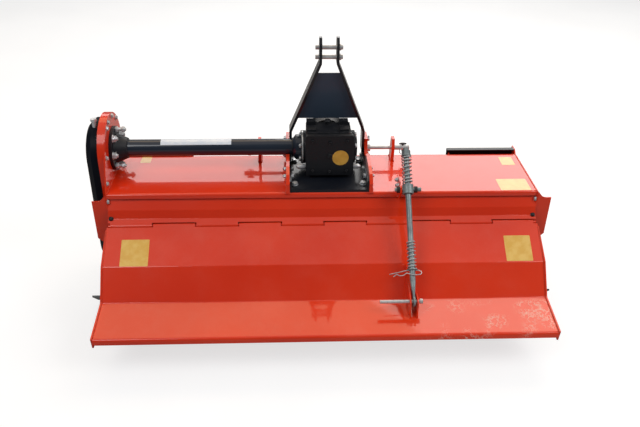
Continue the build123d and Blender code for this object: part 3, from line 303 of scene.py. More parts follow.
def startGroup(name, inputs, outputs):
    # an empty group with named number inputs, and outputs that are numbers or a normal
    group = bpy.data.node_groups.new(name, "ShaderNodeTree")
    for label, value in inputs.items():
        socket = group.interface.new_socket(name=label, in_out="INPUT", socket_type="NodeSocketFloat")
        socket.default_value = value
    for label in outputs:
        kind = "NodeSocketVector" if label == "Normal" else "NodeSocketFloat"
        group.interface.new_socket(name=label, in_out="OUTPUT", socket_type=kind)
    return group, group.nodes.new("NodeGroupInput").outputs, group.nodes.new("NodeGroupOutput").inputs


def startMaterial(name):
    # a new material, kept in looks under its name; gives its node tree and its shader's sockets
    looks[name] = bpy.data.materials.new(name)
    looks[name].use_nodes = True
    tree = looks[name].node_tree
    return tree, tree.nodes["Principled BSDF"].inputs


def use(tree, group, **values):
    # places a shared group in a material, with the material's own values
    return addNode(tree, "ShaderNodeGroup", values, node_tree=group).outputs


# effects that several finishes share
def buildRoundedEdges():
    # the normal of slightly rounded edges, and a mask where an edge turns, broken up by noise; the mask
    # marks edge wear, and where its colour is lighter it is also a painted edge highlight
    inputs = {"Radius": 0.0015, "Grain": 60.0, "Wear": 0.5}
    group, into, out = startGroup("roundedEdges", inputs, ("Normal", "Worn"))
    soft = addNode(group, "ShaderNodeBevel", {"Radius": into["Radius"]}, samples=4).outputs["Normal"]
    flat = addNode(group, "ShaderNodeNewGeometry").outputs["Normal"]
    dot = addNode(group, "ShaderNodeVectorMath", {0: soft, 1: flat}, operation="DOT_PRODUCT")
    turning = smoothStep(group, dot.outputs["Value"], 0.995, 0.82)
    broken = smoothStep(group, noise(group, objectPlace(group), into["Grain"], 4.0, 0.6), 0.42, 0.62)
    feed(group, out, {"Normal": soft, "Worn": times(group, times(group, turning, broken), into["Wear"])})
    return group


def buildSheetFilm():
    # paint on pressed sheet: a broad ripple and fine orange peel as a height, and a slow shift of tone
    group, into, out = startGroup("sheetFilm", {"Ripple": 1.0, "Peel": 1.0}, ("Height", "Tone", "Smudge"))
    place = objectPlace(group)
    broad = times(group, noise(group, place, 2.6, 1.0, 0.4), into["Ripple"])
    peel = times(group, noise(group, place, 420.0, 1.0, 0.4), times(group, into["Peel"], 0.0012))
    feed(group, out, {
        "Height": plus(group, broad, peel),
        "Tone": smoothStep(group, noise(group, place, 1.7, 2.0, 0.5), 0.3, 0.7),
        "Smudge": smoothStep(group, noise(group, place, 9.0, 5.0, 0.62), 0.45, 0.75),
    })
    return group


def buildSettledDust():
    # thin dust that lies on faces turned upwards, in drifting patches
    group, into, out = startGroup("settledDust", {"Amount": 0.3, "Patch": 6.0}, ("Mask",))
    coords = group.nodes.new("ShaderNodeTexCoord").outputs
    facing = addNode(group, "ShaderNodeSeparateXYZ", {0: coords["Normal"]}).outputs["Z"]
    upward = smoothStep(group, facing, 0.15, 0.95)
    patches = smoothStep(group, noise(group, coords["Object"], into["Patch"], 6.0, 0.65), 0.4, 0.75)
    specks = smoothStep(group, noise(group, coords["Object"], 240.0, 2.0, 0.5), 0.55, 0.72)
    both = plus(group, times(group, patches, 0.7), times(group, specks, 0.3))
    feed(group, out, {"Mask": times(group, times(group, both, upward), into["Amount"])})
    return group


def buildCastGrain():
    # sand-cast skin: lumps and pits at two sizes
    group, into, out = startGroup("castGrain", {"Size": 1.0}, ("Height", "Pits"))
    place = objectPlace(group)
    lumps = noise(group, place, arithmetic(group, "DIVIDE", 90.0, into["Size"]), 3.0, 0.6)
    gritScale = arithmetic(group, "DIVIDE", 420.0, into["Size"])
    grit = addNode(group, "ShaderNodeTexVoronoi", {"Vector": place, "Scale": gritScale}).outputs["Distance"]
    height = plus(group, lumps, times(group, grit, 0.25))
    feed(group, out, {"Height": height, "Pits": smoothStep(group, grit, 0.15, 0.5)})
    return group


def buildPlatedMetal():
    # zinc and machined steel: cloudy tone, dull blotches and fine turning lines
    inputs = {"Cloud": 22.0, "Lines": 900.0}
    group, into, out = startGroup("platedMetal", inputs, ("Tone", "Dull", "Height"))
    place = objectPlace(group)
    feed(group, out, {
        "Tone": smoothStep(group, noise(group, place, into["Cloud"], 4.0, 0.6), 0.3, 0.7),
        "Dull": smoothStep(group, noise(group, place, 70.0, 4.0, 0.65), 0.5, 0.75),
        "Height": noise(group, place, into["Lines"], 1.0, 0.4),
    })
    return group


roundedEdges, sheetFilm, settledDust = buildRoundedEdges(), buildSheetFilm(), buildSettledDust()
castGrain, platedMetal = buildCastGrain(), buildPlatedMetal()


# paints and metals
def driedSplashes(tree):
    # thin veins of a noise near its middle value, in patches, on the right of the lowest fold
    place = objectPlace(tree)
    offMiddle = arithmetic(tree, "SUBTRACT", noise(tree, place, splashes["scale"], 5.0, 0.7), 0.5)
    thin = smoothStep(tree, arithmetic(tree, "ABSOLUTE", offMiddle), splashes["vein"], 0.0)
    axes = addNode(tree, "ShaderNodeSeparateXYZ", {0: place}).outputs
    across = smoothStep(tree, axes["X"], *splashes["across"])
    down = smoothStep(tree, axes["Y"], *splashes["down"])
    patches = smoothStep(tree, noise(tree, place, 7.0, 1.0, 0.5), 0.42, 0.58)
    return times(tree, thin, times(tree, patches, times(tree, across, down)))


def glossPaint(name, tones, rough, coat, coatRough, ripple, wearAndHighlight, dusty, splash=0.0, shine=0.15):
    # stoved enamel under a clear gloss: tone drifts, edges lighten as wear and, on the reds, as a painted
    # highlight, dust settles on top
    tree, shader = startMaterial(name)
    edges = use(tree, roundedEdges, Radius=0.0015, Wear=wearAndHighlight)
    film = use(tree, sheetFilm, Ripple=ripple)
    mask = use(tree, settledDust, Amount=dusty)["Mask"]
    if splash:
        mask = arithmetic(tree, "MAXIMUM", mask, times(tree, driedSplashes(tree), splash))
    color = mixColor(tree, film["Tone"], tones["deep"], tones["bright"])
    # the edge tone: wear, and on the reds also a painted edge highlight
    color = mixColor(tree, edges["Worn"], color, tones["worn"])
    smudged = plus(tree, rough, times(tree, film["Smudge"], 0.07))
    feed(tree, shader, {
        "Base Color": mixColor(tree, mask, color, tones["dust"]),
        "Roughness": plus(tree, smudged, times(tree, mask, 0.4)),
        "Coat Weight": times(tree, arithmetic(tree, "SUBTRACT", 1.0, mask), coat),
        "Coat Roughness": coatRough,
        "Specular IOR Level": shine,
        "Normal": bump(tree, film["Height"], 0.25, 0.003, edges["Normal"]),
    })


def castPaint(name, deep, bright, worn, rough, size, strength, wearAndHighlight):
    # thick paint over a rough casting
    tree, shader = startMaterial(name)
    edges = use(tree, roundedEdges, Radius=0.0025, Grain=90.0, Wear=wearAndHighlight)
    grain = use(tree, castGrain, Size=size)
    dusty = use(tree, settledDust, Amount=0.16, Patch=14.0)["Mask"]
    color = mixColor(tree, edges["Worn"], mixColor(tree, grain["Pits"], deep, bright), worn)
    feed(tree, shader, {
        "Base Color": mixColor(tree, dusty, color, (0.16, 0.15, 0.14)),
        "Roughness": plus(tree, plus(tree, rough, times(tree, grain["Pits"], 0.15)), dusty),
        "Specular IOR Level": 0.35,
        "Normal": bump(tree, grain["Height"], strength, 0.0012, edges["Normal"]),
    })


def platedSteel(name, dark, light, dull, metallic, rough, strength):
    # plated or machined metal with a cloudy sheen
    tree, shader = startMaterial(name)
    edges = use(tree, roundedEdges, Radius=0.0008, Grain=140.0, Wear=0.35)
    metal = use(tree, platedMetal)
    color = mixColor(tree, metal["Tone"], dark, light)
    color = mixColor(tree, times(tree, metal["Dull"], 0.6), color, dull)
    feed(tree, shader, {
        "Base Color": mixColor(tree, edges["Worn"], color, light),
        "Metallic": metallic,
        "Roughness": plus(tree, rough, times(tree, metal["Dull"], 0.22)),
        "Normal": bump(tree, metal["Height"], strength, 0.0002, edges["Normal"]),
    })


def mouldedBlack(name, color, rough, scale):
    # rubber or moulded plastic: fine pebbled skin, slightly greyed where handled
    tree, shader = startMaterial(name)
    place = objectPlace(tree)
    pebble = addNode(tree, "ShaderNodeTexVoronoi", {"Vector": place, "Scale": scale}).outputs["Distance"]
    rubbed = smoothStep(tree, noise(tree, place, 18.0, 4.0, 0.6), 0.45, 0.7)
    greyed = tuple(c * 2.2 + 0.01 for c in color)
    edges = use(tree, roundedEdges, Radius=0.001, Grain=120.0, Wear=0.4)
    feed(tree, shader, {
        "Base Color": mixColor(tree, edges["Worn"], mixColor(tree, rubbed, color, greyed), greyed),
        "Roughness": plus(tree, rough, times(tree, rubbed, 0.12)),
        "Normal": bump(tree, pebble, 0.3, 0.0003, edges["Normal"]),
    })


def filmLabel(name, color, faded, rough):
    # blank vinyl film: slightly faded patches, faint wrinkles, dulled at the rim
    tree, shader = startMaterial(name)
    place = objectPlace(tree)
    fade = smoothStep(tree, noise(tree, place, 30.0, 3.0, 0.55), 0.35, 0.7)
    edges = use(tree, roundedEdges, Radius=0.001, Grain=200.0, Wear=0.5)
    feed(tree, shader, {
        "Base Color": mixColor(tree, edges["Worn"], mixColor(tree, fade, color, faded), faded),
        "Roughness": plus(tree, rough, times(tree, fade, 0.1)),
        "Coat Weight": 1.0,
        "Coat Roughness": 0.12,
        "Normal": bump(tree, noise(tree, place, 45.0, 2.0, 0.5), 0.15, 0.0008),
    })


# the dried splashes fade in between two values of X and of Y, in the tiller's own frame
splashes = {"scale": 26.0, "vein": 0.028, "across": (0.36, 0.52), "down": (-0.27, -0.32)}
# the reds' lighter orange edge tone is partly paint thinned by wear and partly a painted edge highlight
redTones = {"deep": (0.72, 0.029, 0.003), "bright": (0.82, 0.042, 0.006),
            "worn": (0.78, 0.10, 0.035), "dust": (0.62, 0.36, 0.28)}
tailTones = {**redTones, "dust": (0.96, 0.74, 0.62)}
blackTones = {"deep": (0.0035, 0.005, 0.009), "bright": (0.007, 0.010, 0.017),
              "worn": (0.08, 0.08, 0.09), "dust": (0.14, 0.13, 0.12)}
tubeTones = {**blackTones, "deep": (0.009, 0.016, 0.030), "bright": (0.013, 0.022, 0.038)}
navyTones = {"deep": (0.042, 0.062, 0.094), "bright": (0.055, 0.080, 0.118),
             "worn": (0.10, 0.10, 0.11), "dust": (0.16, 0.15, 0.14)}
tineTones = {"deep": (0.008, 0.010, 0.016), "bright": (0.018, 0.021, 0.030),
             "worn": (0.30, 0.30, 0.31), "dust": (0.24, 0.20, 0.17)}
greyWorn = (0.12, 0.12, 0.13)

# name and tones, then rough, coat, coatRough, ripple, edge wear and highlight amount, dusty
glossPaint("hoodRed", redTones, 0.30, 1.0, 0.05, 0.6, 0.3, 0.05)
glossPaint("tailRed", tailTones, 0.30, 1.0, 0.05, 0.6, 0.3, 0.04, splash=0.85)
glossPaint("plateRed", redTones, 0.32, 0.8, 0.08, 0.3, 0.4, 0.05)
glossPaint("tubeBlack", tubeTones, 0.35, 1.0, 0.10, 0.3, 0.4, 0.04)
glossPaint("sheetBlack", blackTones, 0.40, 0.5, 0.15, 0.4, 0.4, 0.06)
glossPaint("caseBlack", blackTones, 0.5, 0.04, 0.22, 0.4, 0.3, 0.015, shine=0.06)
glossPaint("guardNavy", navyTones, 0.42, 0.35, 0.2, 0.4, 0.4, 0.06)
glossPaint("barBlack", blackTones, 0.35, 0.8, 0.16, 0.3, 0.9, 0.14)
glossPaint("tineBlack", tineTones, 0.45, 0.2, 0.3, 0.3, 0.9, 0.2)
# name and colours deep, bright, edge wear and highlight, then rough, size, strength, edge wear and
# highlight amount
castPaint("castBlack", (0.0035, 0.004, 0.006), (0.008, 0.009, 0.012), (0.1, 0.1, 0.11), 0.34, 1.0, 0.5, 0.6)
castPaint("flangeBlack", (0.004, 0.005, 0.008), (0.009, 0.011, 0.016), greyWorn, 0.34, 1.4, 0.3, 0.6)
castPaint("weldRed", (0.58, 0.026, 0.006), (0.72, 0.05, 0.012), (0.80, 0.12, 0.05), 0.30, 2.2, 0.25, 0.3)
castPaint("weldBlack", (0.006, 0.008, 0.012), (0.014, 0.016, 0.022), greyWorn, 0.36, 2.2, 0.25, 0.4)
# name and colours dark, light, dull, then metallic, rough, strength
platedSteel("zincPlate", (0.42, 0.44, 0.46), (0.70, 0.72, 0.74), (0.34, 0.33, 0.31), 0.55, 0.30, 0.2)
platedSteel("rodZinc", (0.17, 0.21, 0.22), (0.26, 0.31, 0.31), (0.16, 0.17, 0.16), 0.2, 0.38, 0.3)
platedSteel("springZinc", (0.40, 0.42, 0.43), (0.62, 0.65, 0.66), (0.34, 0.34, 0.32), 0.4, 0.34, 0.2)
platedSteel("turnedSteel", (0.60, 0.60, 0.60), (0.82, 0.82, 0.81), (0.45, 0.44, 0.42), 0.6, 0.24, 0.4)
platedSteel("pinSteel", (0.50, 0.50, 0.50), (0.72, 0.73, 0.73), (0.40, 0.39, 0.37), 0.5, 0.34, 0.3)
mouldedBlack("guardPlastic", (0.010, 0.010, 0.011), 0.42, 900.0)
mouldedBlack("rubberBlack", (0.008, 0.008, 0.008), 0.6, 700.0)
filmLabel("labelYellow", (0.74, 0.40, 0.030), (0.80, 0.50, 0.085), 0.35)
filmLabel("discYellow", (0.62, 0.30, 0.010), (0.72, 0.38, 0.03), 0.35)
filmLabel("labelWhite", (0.66, 0.72, 0.80), (0.76, 0.80, 0.84), 0.3)

finishes = {
    "hoodRed": "hood_deck hood_rear_panel",
    "tailRed": "tailboard_sheet",
    "plateRed": "side_plate_left side_plate_right side_wings gear_case tailboard_gussets rod_ears "
                "hinge_rod collar_bracket hitch_brackets hitch_ears front_guard_arms",
    "tubeBlack": "drive_tube",
    "caseBlack": "gear_case_cover",
    "flangeBlack": "tube_bell gearbox_side_caps rotor_bearing",
    "castBlack": "gearbox_housing gearbox_rear_cover",
    "sheetBlack": "front_guards gearbox_base skid_left skid_right",
    "guardNavy": "mast_guard",
    "barBlack": "mast_bars",
    "tineBlack": "tine_flanges rotor_tube",
    "rodZinc": "adjusting_rod swivel_collar rod_nut spring_washer",
    "springZinc": "upper_spring lower_spring",
    "pinSteel": "hitch_pins top_link_pins rod_pin",
    "zincPlate": "filler_plug retaining_clip",
    "rubberBlack": "trunnion_nuts",
    "turnedSteel": "pto_shaft",
    "guardPlastic": "pto_guard",
}
for look, names in finishes.items():
    for name in names.split():
        mesh = nodes[name].data
        if len(mesh.materials) == 0:
            mesh.materials.append(looks[look])
        for index in range(len(mesh.materials)):
            mesh.materials[index] = looks[look]
print("stage 2: finishes on", sum(len(names.split()) for names in finishes.values()), "nodes")

# fasteners
# profiles in units of the thread's diameter: radius, height, and the flatness of a hexagon's rows
headBolt = [(0, 0), (1.08, 0), (1.12, 0.05), (1.08, 0.16), (0.86, 0.17, 1), (0.92, 0.2, 1),
            (0.92, 0.72, 1), (0.83, 0.82, 0.15), (0.6, 0.84), (0, 0.84)]
nutBody = [(0, 0), (1.08, 0), (1.12, 0.05), (1.08, 0.16), (0.86, 0.17, 1), (0.92, 0.22, 1),
           (0.92, 0.88, 1), (0.82, 0.98, 0.15), (0.5, 1.0)]
nutThread = [(0.47, 1.06), (0.5, 1.12), (0.47, 1.18), (0.5, 1.24), (0.47, 1.3)]
nutTip = [(0.5, 1.36), (0.4, 1.44), (0, 1.44)]
longStud = [(0, 0), (0.78, 0), (0.86, 0.05, 1), (0.92, 0.1, 1), (0.92, 0.7, 1), (0.82, 0.8, 0.15),
            (0.52, 0.82), (0.5, 0.9), (0.5, 1.9), (0.86, 1.92, 1), (0.92, 1.98, 1), (0.92, 2.6, 1),
            (0.82, 2.7, 0.15), (0.5, 2.72), (0.5, 3.0), (0.4, 3.1), (0, 3.1)]
capScrew = [(0, 0), (0.78, 0), (0.78, 0.85), (0.70, 0.95), (0.44, 0.96, 1), (0.42, 0.9, 1),
            (0.4, 0.45, 1), (0, 0.42)]
shapes = {
    "head": turnedShape(headBolt), "smallHead": turnedShape(headBolt, 12), "stud": turnedShape(longStud),
    "nut": turnedShape(nutBody + nutThread + nutTip), "smallNut": turnedShape(nutBody + nutTip, 12),
    "cap": turnedShape(capScrew),
}
drawn = np.random.default_rng(7)
left, right, backward, upward = (-1, 0, 0), (1, 0, 0), (0, -1, 0), (0, 0, 1)


def fasten(name, kind, places, direction, size, body="frame",
           look="zincPlate", slot="zinc_plate", origin=deckOrigin):
    # one fastener at each place, scaled by its thread's diameter and turned about its own line by chance
    places = np.atleast_2d(places).astype(float) + origin
    turns = drawn.uniform(0, np.pi, len(places))
    points, faces = scatter(shapes[kind], places, direction, size, turns)
    makePiece(name, points, faces, body, slot, look)


def rowAt(x, rows):
    # places at one X, from pairs of forward and height
    return [(x, y, z) for y, z in rows]


tubeAxis = ((faceOf("drive_tube", 1, -1) + faceOf("drive_tube", 1, 1)) / 2,
            (faceOf("tube_bell", 2, -1) + faceOf("tube_bell", 2, 1)) / 2)
rotorMid = np.array(joints["rotor_spin"]["pos_m"])
rotorAxis = (rotorMid - deckOrigin)[1:]
centreX = joints["pto_spin"]["pos_m"][0]

# gear-case head on the left, and the panel at the back
head = {"bolt": 0.010, "circle": 0.144, "degrees": (10, 45, 75, 104, 119, 172),
        "low": ((0.033, 0.036), (-0.002, -0.033)), "panelBolt": (-0.002, -0.036)}
headPlaces = ringPlaces(-innerFace, tubeAxis, head["circle"], head["degrees"])
headPlaces = np.concatenate([headPlaces, rowAt(-innerFace, head["low"])])
fasten("headPlateBolts", "head", headPlaces, right, head["bolt"])
fasten("rearPanelBolt", "head", rowAt(innerFace, [head["panelBolt"]]), left, head["bolt"])

# the bell at the tube's left end, held by long studs and short bolts
bell = {"stud": 0.015, "circle": 0.084, "studDegrees": (78, 222, 330),
        "bolt": 0.016, "boltDegrees": (126, 178, 276, 20), "seat": 0.014}
bellFace = faceOf("tube_bell", 0, -1) + bell["seat"]
studPlaces, boltPlaces = (ringPlaces(bellFace, tubeAxis, bell["circle"], bell[key])
                          for key in ("studDegrees", "boltDegrees"))
fasten("bellStuds", "stud", studPlaces, right, bell["stud"])
fasten("bellBolts", "nut", boltPlaces, right, bell["bolt"])

# gearbox
cover = {"screw": 0.008, "corner": (0.030, 0.024), "lower": (0.01, 0.004), "plug": 0.010}
coverFace = faceOf("gearbox_rear_cover", 1, -1)
coverX, coverZ = ([faceOf("gearbox_rear_cover", axis, end) - end * inset for end in (-1, 1)]
                  for axis, inset in zip((0, 2), cover["corner"]))
coverMid = sum(coverX) / 2
screwPlaces = [(x, coverFace, z) for x in coverX for z in coverZ]
screwPlaces += [(coverMid, coverFace, z - lower) for z, lower in zip(coverZ[::-1], cover["lower"])]
plugPlace = (coverMid, coverFace, sum(coverZ) / 2)
painted = {"look": "castBlack", "slot": "black_paint"}
fasten("gearboxCoverScrews", "cap", screwPlaces, backward, cover["screw"], **painted)
fasten("gearboxLevelPlug", "head", plugPlace, backward, cover["plug"], **painted)

# the gearbox's side caps, and the turned rims behind them
caps = {"circle": 0.062, "bolt": 0.010, "plate": 0.024, "degrees": range(30, 390, 60)}
capFace, boxSide = faceOf("gearbox_side_caps", 0, -1), faceOf("gearbox_housing", 0, 1)
for name, x, side in (("gearboxCapBoltsLeft", capFace, left),
                      ("gearboxCapBoltsRight", boxSide + caps["plate"], right)):
    fasten(name, "head", ringPlaces(x, tubeAxis, caps["circle"], caps["degrees"]), side, caps["bolt"])
rim = {"inner": 0.070, "outer": 0.0755, "width": 0.006, "bulge": 0.0006, "edge": 0.0008,
       "starts": (0.004, 0.002)}
bulged, rimTop = rim["outer"] + rim["bulge"], rim["width"] + rim["bulge"]
rimProfile = [(rim["inner"], 0), (rim["outer"], 0), (bulged, rim["edge"]),
              (bulged, rim["width"]), (rim["outer"], rimTop), (rim["inner"], rimTop)]
rimPlaces = deckOrigin + [(x + start, *tubeAxis) for x, start in zip((capFace, boxSide), rim["starts"])]
rims = scatter(turnedShape(rimProfile, 64), rimPlaces, right, 1.0)
makePiece("gearboxMachinedRings", *rims, "frame", "bare_steel", "turnedSteel", merge=False)

# the plate that the gearbox stands on, and the brackets at its sides
base = {"corner": (0.022, 0.050), "cornerBolt": 0.014, "plateTop": 0.012,
        "sideBolt": 0.012, "sideNut": 0.0108, "flange": 0.008,
        "rows": ((0.157, 0.036), (0.089, 0.036), (0.290, 0.036))}
baseX = [faceOf("gearbox_base", 0, end) for end in (-1, 1)]
cornerX, cornerY = ([faceOf("gearbox_base", axis, end) - end * inset for end in (-1, 1)]
                    for axis, inset in enumerate(base["corner"]))
cornerPlaces = [(x, y, base["plateTop"]) for x in cornerX for y in cornerY]
fasten("gearboxBaseBolts", "head", cornerPlaces, upward, base["cornerBolt"])
bracketX = [faceOf("hitch_brackets", 0, end) for end in (-1, 1)]
for name, kind, x, side, size in (
    ("baseSideBoltsLeft", "head", baseX[0] + base["flange"], right, base["sideBolt"]),
    ("baseSideBoltsRight", "head", baseX[1] - base["flange"], left, base["sideBolt"]),
    ("baseSideNutsLeft", "nut", bracketX[0], left, base["sideNut"]),
    ("baseSideNutsRight", "nut", bracketX[1], right, base["sideNut"]),
):
    fasten(name, kind, rowAt(x, base["rows"]), side, size)

# mast
mast = {"bolt": 0.014, "rows": ((0.309, 0.112), (0.326, 0.030)),
        "guardBolt": 0.008, "guardPlace": (0.0885, 0.268, 0.372), "lean": (0.935, 0, 0.354)}
fasten("mastBoltsRight", "head", rowAt(bracketX[1], mast["rows"]), right, mast["bolt"])
fasten("mastBoltsLeft", "head", rowAt(bracketX[0], mast["rows"]), left, mast["bolt"])
mirror = np.array([(-1, 1, 1), (1, 1, 1)])
guardPlaces = mirror * mast["guardPlace"] + [centreX, 0, 0]
fasten("mastGuardBolts", "head", guardPlaces, mirror * mast["lean"], mast["guardBolt"])

# rotor bearing and skids
bearing = {"bolt": 0.010, "circle": 0.065, "plate": 0.012, "degrees": range(0, 360, 60)}
bearingFace = faceOf("rotor_bearing", 0, -1) + bearing["plate"]
bearingPlaces = ringPlaces(bearingFace, rotorAxis, bearing["circle"], bearing["degrees"])
fasten("bearingBolts", "head", bearingPlaces, right, bearing["bolt"])

skid = {"bolt": 0.012, "inset": 0.022, "heights": (0.205, 0.235), "plate": 0.008, "topEdge": 0.001}
skidFace = faceOf("skid_right", 0, -1) + skid["plate"]
skidTop = nodePoints("skid_right") - deckOrigin
skidTop = skidTop[skidTop[:, 2] > skidTop[:, 2].max() - skid["topEdge"]]
skidY = (skidTop[:, 1].min() + skid["inset"], skidTop[:, 1].max() - skid["inset"])
skidRows = [(y, z - deckOrigin[2]) for y in skidY for z in skid["heights"]]
fasten("skidBoltsRight", "head", rowAt(skidFace, skidRows), right, skid["bolt"])
fasten("skidBoltsLeft", "head", rowAt(-skidFace, skidRows), left, skid["bolt"])

# two bolts hold each tine to its flange: the head on the tine, the nut on the flange's other side
reel = {"flanges": 8, "tines": 6, "step": 7.5, "end": 0.031, "half": 0.005, "tube": 0.0425,
        "radii": (0.067, 0.086), "bolt": 0.0095, "look": 0.03}
reelX = np.linspace(-1, 1, reel["flanges"]) * (innerFace - reel["end"])
heads, nuts = [], []
for number, x in enumerate(reelX):
    for tine in range(reel["tines"]):
        inward = 1 if number == 0 else -1 if number == reel["flanges"] - 1 else (1 if tine % 2 else -1)
        lean = np.radians(360 / reel["tines"] * tine + reel["step"] * number)
        for radius in reel["radii"]:
            y, z = rotorMid[1] - radius * np.sin(lean), rotorMid[2] + radius * np.cos(lean)
            for side, found in ((inward, heads), (-inward, nuts)):
                start = Vector((x + side * reel["look"], y, z))
                met, place, normal, index = nodes["tine_flanges"].ray_cast(start, Vector((-side, 0, 0)))
                if met:
                    found.append((*place, side))
for name, kind, found in (("tineBolts", "smallHead", heads), ("tineNuts", "smallNut", nuts)):
    found = np.array(found)
    fasten(name, kind, found[:, :3], found[:, 3:] * right, reel["bolt"], "rotor", origin=0)
print("stage 3: fasteners placed")

# springs: true helices in place of the plain coils, along the line from the rod's lower pin to its collar
rodFoot, collarMid = (np.array(joints[name]["pos_m"]) for name in ("rod_pivot", "collar_swivel"))
rodMid = np.array([collarMid[0], rodFoot[1], rodFoot[2]])
rodLine = unit(collarMid - rodMid)
coil = {"wire": 0.003, "turns": 8, "steps": 28, "sides": 10, "inset": 1.15, "crowding": 0.2}


def helicalSpring(name, node, body):
    # the rise is even but for a sine, so the end turns lie close together and the middle ones stand apart
    local = nodePoints(node) - rodMid
    height = local @ rodLine
    radius = np.linalg.norm(local - height[:, None] * rodLine, axis=1).max() - coil["inset"] * coil["wire"]
    low, high = height.min() + coil["wire"], height.max() - coil["wire"]
    share = np.linspace(0, 1, coil["turns"] * coil["steps"] + 1)[:, None]
    turn = 2 * np.pi * coil["turns"] * share
    rise = low + (high - low) * (share - coil["crowding"] * np.sin(2 * np.pi * share) / (2 * np.pi))
    path = rodMid + rise * rodLine
    path = path + radius * (np.cos(turn) * xAxis + np.sin(turn) * np.cross(rodLine, xAxis))
    piece = makePiece(name, *rodAlong(path, coil["wire"], coil["sides"]), body, "zinc_plate", "springZinc")
    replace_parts(piece, node)


helicalSpring("upperCoil", "upper_spring", "collar")
helicalSpring("lowerCoil", "lower_spring", "rod")

# blank labels: plain film with rounded corners, in the places where such machines carry theirs
film = {"thick": 0.0004, "corner": 0.004, "lift": 0.00005}
labels = [
    # name, node, body, middle across and forward, width, length
    ("tailLabelLeft", "tailboard_sheet", "tailboard", (-0.8085, -0.163), 0.118, 0.121),
    ("tailLabelRight", "tailboard_sheet", "tailboard", (0.835, -0.162), 0.115, 0.118),
    ("deckLabelRear", "hood_deck", "frame", (0.845, 0.062), 0.135, 0.100),
    ("deckLabelFront", "hood_deck", "frame", (0.875, 0.287), 0.062, 0.080),
    ("deckLabelLeft", "hood_deck", "frame", (-0.819, 0.323), 0.047, 0.060),
]
for name, node, body, middle, width, length in labels:
    plate = onSurface(node, middle, roundedPlate(width, length, film["thick"], film["corner"]))
    makePiece(name, *plate, body, "red_paint", "labelYellow")

# the tube's film: a grid over its length and its arc, the outer skin first and the inner skin back again
sticker = {"length": (-0.722, -0.409), "degrees": (40, -46), "tube": 0.037, "steps": (9, 25)}
across = np.linspace(*sticker["length"], sticker["steps"][0])
turn = np.radians(np.linspace(*sticker["degrees"], sticker["steps"][1]))
across, turn = np.meshgrid(across, turn, indexing="ij")
outer, inner = (np.stack([across, tubeAxis[0] + skin * np.sin(turn), tubeAxis[1] + skin * np.cos(turn)], -1)
                for skin in (sticker["tube"] + film["thick"], sticker["tube"] + film["lift"]))
wrapped = closedRings(np.concatenate([outer, inner[:, ::-1]], 1) + deckOrigin)
makePiece("tubeLabel", *wrapped, "frame", "black_paint", "labelWhite")

# the round film on the gearbox
disc = {"radius": 0.036, "place": (0.073, coverFace, 0.116)}
discProfile = [(0, 0), (disc["radius"], 0), (disc["radius"], film["thick"]), (0, film["thick"])]
discMesh = scatter(turnedShape(discProfile, 48), disc["place"] + deckOrigin, backward, 1.0)
makePiece("gearboxLabel", *discMesh, "frame", "black_paint", "discYellow")
print("stage 4: springs and labels")

# weld beads, by radius; the runs start and stop at distances forward from the deck's rear edge
bead = {"step": 0.0022, "ripple": 0.0066, "swell": 0.16, "sides": 7}
seams = {"bracket": 0.0035, "ear": 0.0035, "plate": 0.0022, "gusset": 0.0022, "rodEar": 0.003,
         "tube": 0.003, "flange": 0.004}
runs = {"frontSlope": 0.079, "bracket": (-0.003, 0.005), "ear": (0.292, 0.004), "plate": (0.004, 0.0),
        "gusset": (-0.078, 0.012), "gussetInset": 0.0004, "rodEar": (-0.30, 0.02), "rodEarOut": 0.001,
        "earThick": 0.014, "collar": 0.037, "tubeOut": 0.001}


def beadAlong(path, radius):
    # a bead along any path: it is spaced out evenly, and its radius swells once in each ripple
    path = np.asarray(path, float)
    run = np.concatenate([[0], np.cumsum(np.linalg.norm(np.diff(path, axis=0), axis=1))])
    places = np.linspace(0, run[-1], max(int(run[-1] / bead["step"]), 3))
    even = np.stack([np.interp(places, run, path[:, k]) for k in range(3)], -1)
    swell = 1 + bead["swell"] * np.abs(np.sin(np.pi * places / bead["ripple"]))
    return rodAlong(even, radius * swell, bead["sides"])


def weld(name, seam, paths, body="frame", paint="red", origin=deckOrigin):
    # the beads of one seam as one piece, under red or black paint
    points, faces = joined(*(beadAlong(np.asarray(path, float) + origin, seams[seam]) for path in paths))
    makePiece(name, points, faces, body, paint + "_paint", "weld" + paint.title(), sharp=60)


def deckRuns(places, start, short):
    # straight runs along the deck, from the start to a little short of the front slope
    front = faceOf("hood_deck", 1, 1) - runs["frontSlope"]
    return [[(x, start, 0.0), (x, front - short, 0.0)] for x in places]


def circlePath(x, centre, radius, steps=60):
    # a whole turn round a line along X
    return ringPlaces(x, centre, radius, np.linspace(0, 360, steps))


earHalf = faceOf("hitch_ears", 0, 1) - centreX
earX = [centreX + side * (earHalf - thick) for side in (-1, 1) for thick in (0.0, runs["earThick"])]
weld("bracketWelds", "bracket", deckRuns(bracketX, *runs["bracket"]))
weld("earWelds", "ear", deckRuns(earX, *runs["ear"]))
weld("sidePlateWelds", "plate", deckRuns((-innerFace, innerFace), *runs["plate"]))
tailEdge, tailLow = faceOf("tailboard_sheet", 0, 1) - runs["gussetInset"], faceOf("tailboard_sheet", 1, -1)
gussetRuns = [seamAcross("tailboard_sheet", side * tailEdge, runs["gusset"][0], tailLow + runs["gusset"][1])
              for side in (-1, 1)]
weld("gussetWelds", "gusset", gussetRuns, "tailboard", origin=0)
rodEarX = [faceOf("rod_ears", 0, end) + end * runs["rodEarOut"] for end in (-1, 1)]
rodEarEnd = faceOf("rod_ears", 1, -1) + runs["rodEar"][1]
rodEarRuns = [seamAcross("tailboard_sheet", x, runs["rodEar"][0], rodEarEnd, 24) for x in rodEarX]
weld("rodEarWelds", "rodEar", rodEarRuns, "tailboard", origin=0)
